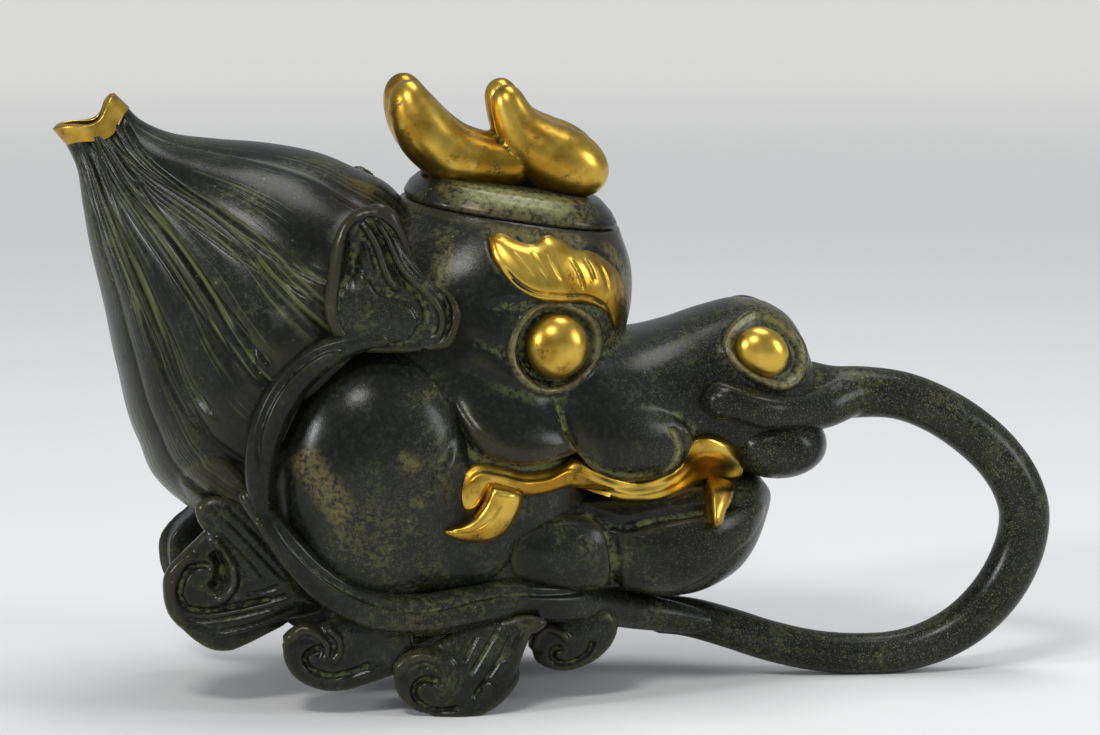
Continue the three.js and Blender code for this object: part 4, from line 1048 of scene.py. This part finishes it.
class TEAPOT_OT_spout_lip(bpy.types.Operator):
    """Gilded pinched lip of the spout, notched on both sides"""
    bl_idname = "teapot.spout_lip"
    bl_label = "Spout lip"

    def execute(self, context):
        def place(turn, way):
            fan = math.pi - np.abs(math.pi - turn)
            notch = np.exp(-((fan - LIP_NOTCH_AT) / LIP_NOTCH_WIDTH) ** 2)
            low, high = -LIP_SKIRT - LIP_SKIRT_DIP * notch, 1 - LIP_NOTCH_DEPTH * notch
            knots, rises, outs = np.array(LIP_SECTION).T
            rise = low + (high - low) * np.interp(way, knots, rises)
            out = (np.interp(way, knots, outs) * MM)[..., None]
            shares = [start + (end - start) * rise for start, end in zip(LIP_START, LIP_END)]
            return mane_ring(turn, shares, out, out)

        bm = bmesh.new()
        wrap(bm, place, around=96, along=50)
        lip = built(bm, "spout_lip_rim")
        note_relief(lip, rounds=8)
        finish(lip, gilding(context), "vessel", "gilding", "spout_lip")
        return {"FINISHED"}


CHEEK_INSIDE = -12 * MM
CHEEK_BALLS = (  # centre and radii in mm, squareness
    ((-38.6, -13.5, 46.9), (21.8, 24, 27.3), 2.7),
    ((-33.0, -15.5, 41.5), (20.5, 19.8, 21.0), 2.2),
    ((-27.5, -17.0, 37.5), (17.5, 16.8, 16.2), 2.1),
    ((-22.2, -18.5, 34.6), (14.2, 14.2, 12.7), 2),
)


class TEAPOT_OT_cheeks(bpy.types.Operator):
    """Round jowls, left and right"""
    bl_idname = "teapot.cheeks"
    bl_label = "Cheeks"

    def execute(self, context):
        bm = bmesh.new()
        for centre, radii, power in CHEEK_BALLS:
            ball(bm, centre, radii, power=power)
        cut(bm, (0, CHEEK_INSIDE, 0), (0, 1, 0))
        close(bm)
        cheek = cast(bm, "cheek_near", skin_step(context), rounds=60)
        chase(cheek, (
            line_mark(0.5, 9, "467,434 453,462 441,487 438,512 444,530", 0.4),
            line_mark(-0.5, 8, "457,427 444,456 430,483 426,510 430,530", 0.4),
        ))
        stain(cheek, (
            line_mark(1.0, 26, "296,444 312,470 332,498 352,524", 0.2),
            line_mark(0.9, 17, "396,458 410,464 420,474", 0.2),
            line_mark(0.7, 12, "420,494 422,510", 0.2),
            line_mark(0.6, 10, "430,388 432,400", 0.2),
        ))
        note_relief(cheek)
        finish_pair(cheek, bronze(context), "vessel", "bronze", "cheek")
        return {"FINISHED"}


CREST_X = -38.56 * MM
CREST_Y = -31.7 * MM
CREST_Z = 48 * MM
CREST_REACH = 22.95 * MM
CREST_RISE = 27.03 * MM
CREST_TURN = (84, 205)
CREST_POINTS = 24
CREST_RADII = ((0, 1.6), (0.3, 3.2), (0.7, 3.2), (1, 1.1))


class TEAPOT_OT_crests(bpy.types.Operator):
    """Rolled rims behind the jowls"""
    bl_idname = "teapot.crests"
    bl_label = "Jowl crests"

    def execute(self, context):
        bm = bmesh.new()
        angles = np.radians(np.linspace(*CREST_TURN, CREST_POINTS))
        line = stack(CREST_X + CREST_REACH * np.cos(angles), CREST_Y,
                     CREST_Z + CREST_RISE * np.sin(angles))
        tube(bm, line, CREST_RADII, MM, around=24, along=120)
        crest = cast(bm, "crest_near", fine_step(context), rounds=4)
        chase(crest, (
            line_mark(-0.7, 5, "350,347 320,353 296,370 277,392 264,418 258,444 260,468", 0.1),
        ))
        note_relief(crest)
        finish_pair(crest, bronze(context), "vessel", "bronze", "jowl_crest")
        return {"FINISHED"}


EAR_NEAR = -31.5 * MM
EAR_FAR = -21 * MM
EAR_LINE = ("367,208 358,211 346,221 338,236 333,257 330,280 327,299 328,317 333,331 340,341 "
            "356,348 390,351 425,348 447,346 456,330 459,313 453,300 436,284 419,268 408,249 "
            "400,229 393,213 381,206")
EAR_MARKS = (
    area_mark(1.9, 12, EAR_LINE),
    area_mark(-1.5, 10, "356,219 347,229 342,246 339,270 336,296 337,318 346,336 366,344 400,347 "
              "430,345 446,338 453,320 452,304 440,289 424,274 409,256 399,238 388,222 372,214"),
    line_mark(-1.9, 13, "358,226 355,244 353,262 354,282 360,300", 0.5),
    line_mark(0.6, 4, "362,232 367,248 371,265 376,284", 0.4),
    line_mark(2.0, 7, "359,218 368,230 377,246 383,264 390,280 402,292", 0.15),
    line_mark(-0.9, 5, "372,222 382,238 388,254 396,270 408,284 420,298 426,314 422,334", 0.2),
    line_mark(1.5, 6, "370,214 383,232 392,250 401,268 413,282 427,293 438,306 442,320 438,334 "
              "428,341", 0.12),
    line_mark(-0.7, 4, "386,218 396,236 405,252 418,268 433,283 445,298 449,312 446,328", 0.15),
    area_mark(1.7, 26, "340,296 348,278 358,270 368,280 380,294 396,299 410,306 418,318 416,330 "
              "406,340 386,343 362,342 346,332 339,314"),
)


class TEAPOT_OT_ears(bpy.types.Operator):
    """Pointed folded ears"""
    bl_idname = "teapot.ears"
    bl_label = "Ears"

    def execute(self, context):
        bm = bmesh.new()
        plate(bm, EAR_LINE, EAR_NEAR, EAR_FAR, back=0.6)
        ear = cast(bm, "ear_near", fine_step(context), rounds=26)
        chase(ear, EAR_MARKS)
        note_relief(ear)
        finish_pair(ear, bronze(context), "vessel", "bronze", "ear")
        return {"FINISHED"}


LOOP_LINE = (
    (.44, .96), (.52, .99), (.6, 1), (.69, .985), (.77, .93), (.84, .85), (.895, .76),
    (.93, .67), (.949, .57), (.945, .47), (.925, .37), (.885, .26), (.83, .17), (.76, .105),
    (.69, .075), (.61, .07), (.52, .085), (.43, .122), (.34, .175), (.26, .215), (.17, .232),
)
LOOP_REACH = 100 * MM
LOOP_HEIGHT = 58 * MM
LOOP_RADIUS = 5.1 * MM
LOOP_RADII = (
    (0, 1.5), (.025, 1.6), (.045, 1.45), (.075, 1.1), (.11, 1.02), (.3, 1), (.5, 1),
    (.66, .84), (.9, .8), (1, .76),
)
PAD_CENTRE = (42.6, 0, 49)
PAD_RADII = (10.8, 17, 7.3)
ROLL_LINE = ((26.2, -18, 59.8), (32.8, -18.3, 59.4), (39.5, -15.8, 57.3), (46, -11.2, 56),
             (52, -6.2, 55.9), (58, -2.2, 57.4), (65, 0, 57.6))
ROLL_RADII = ((0, 3.6), (0.15, 3.8), (0.45, 4), (0.65, 4.2), (0.8, 4.4), (1, 3.2))


class TEAPOT_OT_handle(bpy.types.Operator):
    """Ring handle, the rolls beside the nose that it springs from and the pad under them"""
    bl_idname = "teapot.handle"
    bl_label = "Nose and handle"

    def execute(self, context):
        bm = bmesh.new()
        line = stack(*np.array(LOOP_LINE).T)
        line = stack(line[:, 0] * LOOP_REACH, 0, line[:, 1] * LOOP_HEIGHT)
        tube(bm, line, LOOP_RADII, LOOP_RADIUS, around=72, along=520)
        for side in (1, -1):
            roll = np.array(ROLL_LINE) * (1, side, 1) * MM
            tube(bm, roll, ROLL_RADII, MM, around=28, along=90)
        handle = cast(bm, "nose_and_handle", fine_step(context), rounds=8)
        stand(handle)
        chase(handle, (
            line_mark(0.4, 6, "704,386 718,384 735,391 754,397 775,400 800,400", 0.15),
            line_mark(-0.8, 4, "886,398 892,401", 0),
            line_mark(-0.6, 3, "927,404 932,406", 0),
        ))
        thin(handle)
        note_relief(handle)
        finish(handle, bronze(context), "vessel", "bronze",
               "handle_loop", "nose_roll_right", "nose_roll_left")
        bm = bmesh.new()
        ball(bm, PAD_CENTRE, PAD_RADII, lean=0.05, power=2.7)
        pad = cast(bm, "front_lip_pad", fine_step(context), rounds=4)
        note_relief(pad)
        finish(pad, bronze(context), "vessel", "bronze", "front_lip")
        return {"FINISHED"}


BAND_LINE = (
    (.58, 0, .6), (.48, .06, .7), (.38, .14, .8), (.26, .24, .91), (.12, .42, 1.08),
    (-.03, .62, 1.22), (-.2, .75, 1.33), (-.34, .82, 1.27), (-.49, .86, 1.2), (-.63, .88, 1.26),
    (-.77, .9, 1.46), (-.88, .93, 1.78), (-.97, .94, 2.15), (-1.05, .91, 2.5), (-1.1, .87, 2.7),
)
BAND_REACH, BAND_OUT, BAND_HEIGHT = 59, 34, 17
BAND_RADIUS = 3.6 * MM
BAND_RADII = ((0, .6), (.1, .85), (.18, 1), (.78, 1), (.92, .75), (1, .45))


class TEAPOT_OT_collar(bpy.types.Operator):
    """Leaf-tipped bands under the head"""
    bl_idname = "teapot.collar"
    bl_label = "Collar"

    def execute(self, context):
        bm = bmesh.new()
        along, out, up = np.array(BAND_LINE).T
        line = stack(along * BAND_REACH * MM, -out * BAND_OUT * MM, up * BAND_HEIGHT * MM)
        tube(bm, line, BAND_RADII, BAND_RADIUS, around=28, along=220)
        band = cast(bm, "collar_near", fine_step(context), rounds=5)
        chase(band, (
            line_mark(-0.6, 5, "268,512 291,546 312,567 333,583 364,599 393,608 421,611 450,606 "
                      "479,598 500,595 560,594 600,590", 0.1),
            line_mark(0.5, 7, "240,496 257,520 272,544 287,565 304,585 325,603 350,616 380,625 "
                      "431,626 477,618 513,613", 0.1),
        ))
        note_relief(band)
        finish_pair(band, bronze(context), "vessel", "bronze", "collar_band")
        return {"FINISHED"}


FOOT_DOME = 2
FOOT_SHOULDER = 22
FEET = (  # near and far side in mm, outline, marks
    ((-21.5, -12.5),
     "206,531 193,544 178,559 170,572 169,589 172,606 181,624 196,639 213,648 229,649 245,643 "
     "269,631 297,617 322,606 318,594 300,576 282,552 266,528 252,507 238,500 222,497 206,499 "
     "197,507 199,519", (
         line_mark(1.2, 7, "212,535 223,551 233,566 234,580 228,592 214,600", 0.1),
         line_mark(-3.2, 9, "214,549 221,566 219,579 211,588", 0.1),
         line_mark(1.0, 6, "195,551 182,562 172,576 171,592 176,610 190,626", 0.1),
         *line_marks(
             -0.4, 3, 0.1,
             "212,506 232,523 256,548 284,578",
             "226,504 244,520 268,546",
             "203,514 221,530 244,552 266,578",
         ),
         line_mark(-1.1, 5, "213,566 203,563 191,567 183,578 180,594 187,606 203,609 223,607 "
                   "245,602 270,596", 0.06),
         *line_marks(
             -0.6, 3, 0.12,
             "237,606 262,600 290,593",
             "182,615 196,619 213,618 234,615 255,610 276,606",
             "186,623 203,627 217,630 234,627 255,622 276,614 299,606",
             "226,637 250,632 276,622 299,615",
             "246,592 262,590 280,584",
         ),
     )),
    ((-29.7, -20.7),
     "284,645 291,632 304,627 321,624 336,616 360,613 390,618 408,630 410,650 402,668 385,676 "
     "362,684 343,689 316,687 297,677 286,660", (
         line_mark(1.1, 6, "285,643 304,629 322,637 327,649 320,662", 0.1),
         line_mark(-1.2, 5, "322,645 313,648 305,654 308,665 318,671 332,674 350,670 "
                   "372,662", 0.06),
         line_mark(1.0, 6, "326,626 338,637 339,650 331,661", 0.1),
         line_mark(-0.6, 3, "343,678 364,670 384,664"),
     )),
    ((-31, -22),
     "395,672 402,660 412,652 426,648 440,640 462,628 500,620 530,616 546,622 534,634 527,646 "
     "522,660 518,678 506,696 488,710 465,719 444,717 426,712 408,704 398,690", (
         line_mark(1.2, 7, "396,674 408,660 426,655 440,663 443,677 438,693", 0.1),
         line_mark(-1.3, 5, "438,680 427,677 417,681 413,692 421,703 440,709 460,706", 0.06),
         line_mark(1.0, 7, "431,650 450,662 453,678 443,694", 0.1),
         *line_marks(
             -0.7, 4, 0.12,
             "477,632 470,646 463,662",
             "500,623 486,646 468,676",
             "513,628 496,662 474,692",
             "525,625 512,645 500,660",
             "534,627 525,650 516,672 504,688",
             "490,678 480,688 470,697",
         ),
     )),
    ((-21.5, -12.5),
     "534,650 536,634 545,622 575,614 610,612 616,626 612,640 598,656 582,665 563,669 545,665 "
     "536,658", (
         line_mark(1.1, 6, "534,650 538,635 547,627 560,631 568,640", 0.1),
         line_mark(-1.2, 5, "562,646 552,648 552,657 564,662 576,659 588,650 592,638", 0.06),
     )),
)


class TEAPOT_OT_feet(bpy.types.Operator):
    """Curled cloud feet, four on each side"""
    bl_idname = "teapot.feet"
    bl_label = "Cloud feet"

    def execute(self, context):
        for number, ((near, far), outline, marks) in enumerate(FEET, 1):
            bm = bmesh.new()
            plate(bm, outline, (near + FOOT_DOME) * MM, far * MM, back=0.94)
            foot = cast(bm, f"cloud_foot_{number}_near", fine_step(context), rounds=20)
            dome = area_mark(FOOT_DOME, FOOT_SHOULDER, outline)
            chase(foot, (dome, *marks), face=(0.0, 0.3))
            stand(foot)
            note_relief(foot, rounds=16)
            finish_pair(foot, bronze(context), "vessel", "bronze", f"scroll_foot_{number}")
        return {"FINISHED"}


LID_PROFILE = (  # way from under its middle to its crown, width, rise
    (0, 0, 0), (0.2, 0.995, 0), (0.24, 1.01, 0.02), (0.34, 1.01, 0.16), (0.5, 0.96, 0.5),
    (0.66, 0.87, 0.84), (0.76, 0.76, 1), (0.88, 0.45, 1.08), (1, 0, 1.12),
)


class TEAPOT_OT_lid(bpy.types.Operator):
    """Crown of the head that lifts off"""
    bl_idname = "teapot.lid"
    bl_label = "Lid"

    def execute(self, context):
        def place(turn, way):
            knots, wide, rise = np.array(LID_PROFILE).T
            wide, rise = np.interp(way, knots, wide), np.interp(way, knots, rise)
            c, s = round_section(turn, LID_POWER)
            x = LID_X + LID_HALF_LENGTH * c * wide
            return stack(x, LID_HALF_WIDTH * s * wide,
                         seat_at(x) + SEAT_GAP / 2 + LID_THICKNESS * rise)

        bm = bmesh.new()
        wrap(bm, place, around=160, along=90)
        lid = cast(bm, "lid_crown", fine_step(context), rounds=5)
        stain(lid, (line_mark(1.9, 26, "426,188 470,194 520,201 570,210 608,221", 0.3),))
        note_relief(lid)
        finish(lid, bronze(context), "lid", "bronze", "lid_cover")
        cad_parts["lid_flange"].data.materials.clear()
        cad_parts["lid_flange"].data.materials.append(bronze(context))
        return {"FINISHED"}


HORN_FOOT = 99 * MM
HORN_RISE = 24 * MM
HORN_RADIUS = 7 * MM
HORN_SPREAD = 7.2 * MM
HORN_PRONGS = (
    (((.88, .12), (.6, .25), (.3, .37), (.09, .54), (-.04, .76), (-.09, .94)),
     ((0, .66), (.12, .8), (.3, .98), (.5, .92), (.72, .66), (.9, .48), (1, .4))),
    (((.2, .28), (-.26, .29), (-.56, .36), (-.8, .52), (-.96, .75), (-1.03, .99)),
     ((0, .6), (.3, .76), (.55, .86), (.75, .8), (.92, .56), (1, .44))),
)


class TEAPOT_OT_horns(bpy.types.Operator):
    """Gilded two-pronged horns, the lid's knob"""
    bl_idname = "teapot.horns"
    bl_label = "Horns"

    def execute(self, context):
        bm = bmesh.new()
        for points, radii in HORN_PRONGS:
            along, up = np.array(points).T
            line = stack(LID_X + LID_HALF_LENGTH * along, -HORN_SPREAD, HORN_FOOT + HORN_RISE * up)
            tube(bm, line, radii, HORN_RADIUS, around=32, along=90)
        horn = cast(bm, "horn_near", fine_step(context), rounds=16)
        note_relief(horn)
        finish_pair(horn, gilding(context), "lid", "gilding", "horn")
        return {"FINISHED"}


# Gilded inlays. Their outlines are laid on the surfaces that carry them.

def carrier(*objects):
    """A surface to lay inlays on: the objects' faces together."""
    verts, faces = [], []
    for obj in objects:
        start = len(verts)
        verts += [v.co[:] for v in obj.data.vertices]
        faces += [[start + i for i in p.vertices] for p in obj.data.polygons]
    return BVHTree.FromPolygons(verts, faces)


INLAY_SKIRT = 2.5
INLAY_MARGIN = 3


def reach_over(surface, ahead, edges):
    """How far a surface lies along the rays, and where they miss it, what its edge suggests."""
    eye = Vector(EYE)
    hits = [surface.ray_cast(eye, Vector(way)) for way in ahead]
    reach = np.array([hit[3] if hit[0] else np.nan for hit in hits])
    known = ~np.isnan(reach)
    values = np.column_stack((np.where(known, reach, 0), known.astype(float)))
    while not known.all():
        values = averaged(values, edges, 1)
        fresh = values[:, 1] > 1e-3
        found = np.where(fresh, values[:, 0] / np.maximum(values[:, 1], 1e-9), 0)
        reach = np.where(known, reach, np.where(fresh, found, np.nan))
        known = ~np.isnan(reach)
        values = np.column_stack((np.where(known, reach, 0), known.astype(float)))
    return reach


def inlay(name, surface, outline, rise, shoulder, spread, marks=(), thickness=1.2):
    """A gilded plate of the drawn outline that follows a surface, its edges let in."""
    line = ring_through(outline, AREA_DETAIL * len(pairs(outline)))
    low, high = line.min(0) - INLAY_MARGIN, line.max(0) + INLAY_MARGIN
    across, down = (int(n) for n in np.ceil(high - low))
    bm = bmesh.new()
    made = bmesh.ops.create_grid(bm, x_segments=across, y_segments=down, size=0.5)["verts"]
    spots = low + (np.array([v.co[:2] for v in made]) + 0.5) * (high - low)
    gap, _ = distance_to(spots, line)
    inside = within(spots, line[:-1])
    kept = inside | (gap <= INLAY_SKIRT)
    dropped = [vert for vert, stays in zip(made, kept) if not stays]
    bmesh.ops.delete(bm, geom=dropped, context="VERTS")
    spots, gap, inside = spots[kept], gap[kept], inside[kept]
    bm.verts.index_update()
    edges = np.array([[v.index for v in e.verts] for e in bm.edges])
    ahead = unit(rays(spots))
    reach = reach_over(surface, ahead, edges)
    laid = averaged(reach[:, None], edges, spread)[:, 0]
    for rounds in (spread, spread, spread // 2, max(12, spread // 4)):
        laid = averaged(np.minimum(laid, reach)[:, None], edges, rounds)[:, 0]
    height = np.where(inside, rise * rounded_end(gap, shoulder),
                      -rise * np.clip(gap / INLAY_SKIRT, 0, 1))
    for mark, _, _ in marks:
        height = height + np.where(inside, mark(spots) * MM, 0)
    put(bm.verts, EYE + ahead * (laid - height)[:, None])
    bmesh.ops.recalc_face_normals(bm, faces=bm.faces)
    if sum(f.normal.y for f in bm.faces) > 0:
        bmesh.ops.reverse_faces(bm, faces=bm.faces)
    deeper = bmesh.ops.extrude_edge_only(bm, edges=rim_of(bm))["geom"]
    bmesh.ops.translate(bm, verts=only(deeper, bmesh.types.BMVert),
                        vec=Vector(LOOK) * thickness * MM)
    close(bm)
    return built(bm, name)


STRIP_LINE = ("464,471 476,464 499,467 522,473 545,471 563,464 573,457 591,469 614,479 637,483 "
              "660,478 678,469 687,455 694,441 705,437 719,440 731,446 739,455 742,467 739,476 "
              "715,479 694,484 678,492 660,499 641,501 620,500 600,493 586,488 572,485 559,488 "
              "540,493 524,494 506,489 492,485 483,496 474,508 466,510 460,501 457,487")


class TEAPOT_OT_brows(bpy.types.Operator):
    """Gilded brow plates with chased hairs"""
    bl_idname = "teapot.brows"
    bl_label = "Brows"

    def execute(self, context):
        surface = carrier(bpy.data.objects["head_casting"])
        rise = context.scene.teapot_sizes.gilt_rise
        brow = inlay("brow_near", surface, BROW_LINE, rise, shoulder=9, spread=10, marks=(
            line_mark(-0.6, 4, "503,262 508,273 520,285 533,292 562,296 591,298 605,307 "
                      "611,322", 0.2),
            *line_marks(
                -0.3, 3, 0.3,
                "510,250 522,264 536,278",
                "528,247 538,262 550,279",
                "546,250 554,264 564,282",
            ),
            *line_marks(
                -0.35, 3, 0.3,
                "569,256 580,276 585,293",
                "581,254 590,268 596,284",
                "597,260 605,276 609,294",
                "611,270 617,286 617,307",
            ),
        ))
        note_relief(brow, rounds=10)
        finish_pair(brow, gilding(context), "vessel", "gilding", "brow")
        return {"FINISHED"}


class TEAPOT_OT_eyes(bpy.types.Operator):
    """Gilded eyeballs and nostril balls"""
    bl_idname = "teapot.eyes"
    bl_label = "Eyes and nostrils"

    def execute(self, context):
        for name, stem, centre, radii, lean in (
                ("eye_near", "eyeball", (-3.4, -25.6, 72.2), (6.2, 4.8, 6.5), 0.1),
                ("nostril_near", "nostril_ball", (38.5, -15, 68.8), (5.6, 3.8, 4.9), 0.65)):
            bm = bmesh.new()
            ball(bm, centre, radii, lean)
            gem = cast(bm, name, fine_step(context), rounds=3)
            note_relief(gem, rounds=10)
            finish_pair(gem, gilding(context), "vessel", "gilding", stem)
        return {"FINISHED"}


class TEAPOT_OT_lip_strips(bpy.types.Operator):
    """Gilded wavy lip lines"""
    bl_idname = "teapot.lip_strips"
    bl_label = "Lip strips"

    def execute(self, context):
        surface = carrier(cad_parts["lip_strip_right"], bpy.data.objects["head_casting"],
                          bpy.data.objects["jaw_casting"])
        rise = context.scene.teapot_sizes.gilt_rise
        strip = inlay("lip_strip_near", surface, STRIP_LINE, rise, shoulder=8, spread=160, marks=(
            line_mark(0.3, 4, "466,490 478,475 499,477 524,483 548,481 572,472 596,482 622,491 "
                      "645,492 668,486 686,474 700,458 716,458 730,464"),
        ))
        note_relief(strip, rounds=10)
        finish_pair(strip, gilding(context), "vessel", "gilding", "lip_strip")
        return {"FINISHED"}


REAR_FANG_LINE = ("488,482 506,484 522,489 521,503 515,517 506,531 492,540 471,542 451,538 "
                  "440,530 460,525 474,516 484,502")
FRONT_FANG_LINE = "709,479 721,480 731,485 731,496 724,512 719,525 712,527 707,520 706,503"


class TEAPOT_OT_fangs(bpy.types.Operator):
    """Gilded fangs at the rear and front of the mouth"""
    bl_idname = "teapot.fangs"
    bl_label = "Fangs"

    def execute(self, context):
        rise = context.scene.teapot_sizes.gilt_rise
        rear = inlay("rear_fang_near", carrier(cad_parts["rear_fang_right"]), REAR_FANG_LINE,
                     rise=3.4 * rise, shoulder=16, spread=20, thickness=2.5, marks=(
                         line_mark(-2.2, 9, "486,480 504,482 524,488", 0),
                         line_mark(-0.3, 3, "446,532 470,531 490,520 503,500"),
                     ))
        note_relief(rear, rounds=10)
        finish_pair(rear, gilding(context), "vessel", "gilding", "rear_fang")
        front = inlay("front_fang_near", carrier(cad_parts["front_fang_right"]),
                      FRONT_FANG_LINE, rise=1.6 * rise, shoulder=9, spread=14, thickness=2.0)
        note_relief(front, rounds=10)
        finish_pair(front, gilding(context), "vessel", "gilding", "front_fang")
        return {"FINISHED"}


# The stage. Lengths are in metres. Far out the floor fades into its own plain colour.
FLOOR_HALF_WIDTH = 8
FLOOR_FADE = (0.4, 1.5)
FLOOR_GLOW = 0.9
WORLD_COLOUR = (0.9, 0.93, 1, 1)
WORLD_STRENGTH = 0.4
SENSOR_WIDTH = 36
LAMP_AIM = (0, 0, 0.06)
LAMPS = (  # name, place, width, height, watts, colour
    ("left", (-1.7, -0.8, 0.68), 0.22, 0.4, 15, (0.95, 0.97, 1)),
    ("key", (-0.3, -0.65, 0.8), 0.22, 0.16, 3.6, (1, 0.98, 0.95)),
    ("top", (0.15, 0.1, 0.9), 0.5, 0.3, 3, (1, 1, 1)),
    ("side", (1.6, -0.7, 0.7), 0.4, 0.8, 11, (0.93, 0.96, 1)),
)


class TEAPOT_OT_stage(bpy.types.Operator):
    """Pale floor, soft lamps and the camera"""
    bl_idname = "teapot.stage"
    bl_label = "Stage"

    def execute(self, context):
        scene = context.scene
        paint = (*scene.teapot_looks.floor, 1)
        bm = bmesh.new()
        bmesh.ops.create_grid(bm, x_segments=1, y_segments=1, size=FLOOR_HALF_WIDTH)
        ground = built(bm, "ground")
        material, tree, shader, place = new_material("ground")
        feed(shader, {"Base Color": paint, "Roughness": 0.9})
        glow = node(tree, "ShaderNodeEmission", {}, {"Color": paint, "Strength": FLOOR_GLOW})
        far = node(tree, "ShaderNodeVectorMath", {"operation": "LENGTH"}, {0: place}, "Value")
        seen = sum(node(tree, "ShaderNodeLightPath", output=f"Is {kind} Ray")
                   for kind in ("Camera", "Glossy", "Transmission"))
        out = next(n for n in tree.nodes if n.type == "OUTPUT_MATERIAL")
        feed(out, {"Surface": node(tree, "ShaderNodeMixShader", {}, {
            0: far.soft(*FLOOR_FADE) * seen, 1: Socket(tree, shader.outputs[0]), 2: glow})})
        ground.data.materials.append(material)
        world = bpy.data.worlds.new("studio")
        world.use_nodes = True
        feed(world.node_tree.nodes["Background"], {
            "Color": WORLD_COLOUR, "Strength": WORLD_STRENGTH})
        scene.world = world
        for name, spot, width, height, power, colour in LAMPS:
            lamp = bpy.data.lights.new(name, "AREA")
            lamp.shape = "RECTANGLE"
            lamp.size, lamp.size_y = width, height
            lamp.energy = power
            lamp.color = colour
            held = linked(name, lamp)
            held.location = spot
            way = Vector(LAMP_AIM) - Vector(spot)
            held.rotation_euler = way.to_track_quat("-Z", "Y").to_euler()
        lens = bpy.data.cameras.new("view")
        lens.sensor_fit = "HORIZONTAL"
        lens.sensor_width = SENSOR_WIDTH
        lens.lens = SENSOR_WIDTH * DRAWING_FOCUS / DRAWING_WIDTH
        lens.clip_start = 0.01
        camera = linked("view", lens)
        camera.location = EYE
        camera.rotation_euler = Vector(LOOK).to_track_quat("-Z", "Y").to_euler()
        scene.camera = camera
        scene.view_settings.view_transform = "Standard"
        return {"FINISHED"}


class TEAPOT_PT_panel(bpy.types.Panel):
    """The teapot's pieces, sizes and colours"""
    bl_idname = "TEAPOT_PT_panel"
    bl_label = "Teapot"
    bl_space_type = "VIEW_3D"
    bl_region_type = "UI"
    bl_category = "Teapot"

    def draw(self, context):
        for operator in OPERATORS:
            self.layout.operator(operator.bl_idname)
        for group in (context.scene.teapot_sizes, context.scene.teapot_looks):
            for name in group.bl_rna.properties.keys():
                if name not in ("rna_type", "name"):
                    self.layout.prop(group, name)


OPERATORS = (
    TEAPOT_OT_head, TEAPOT_OT_jaw, TEAPOT_OT_mane, TEAPOT_OT_spout_lip, TEAPOT_OT_cheeks,
    TEAPOT_OT_crests, TEAPOT_OT_ears, TEAPOT_OT_handle, TEAPOT_OT_collar,
    TEAPOT_OT_feet, TEAPOT_OT_lid, TEAPOT_OT_horns, TEAPOT_OT_brows, TEAPOT_OT_eyes,
    TEAPOT_OT_lip_strips, TEAPOT_OT_fangs, TEAPOT_OT_stage,
)
CLASSES = (TeapotSizes, TeapotLooks, *OPERATORS, TEAPOT_PT_panel)


def register():
    for cls in CLASSES:
        bpy.utils.register_class(cls)
    bpy.types.Scene.teapot_sizes = bpy.props.PointerProperty(type=TeapotSizes)
    bpy.types.Scene.teapot_looks = bpy.props.PointerProperty(type=TeapotLooks)


def unregister():
    del bpy.types.Scene.teapot_looks
    del bpy.types.Scene.teapot_sizes
    for cls in reversed(CLASSES):
        bpy.utils.unregister_class(cls)


def main():
    register()
    for operator in OPERATORS:
        getattr(bpy.ops.teapot, operator.bl_idname.split(".")[1])()


if __name__ == "__main__":
    main()
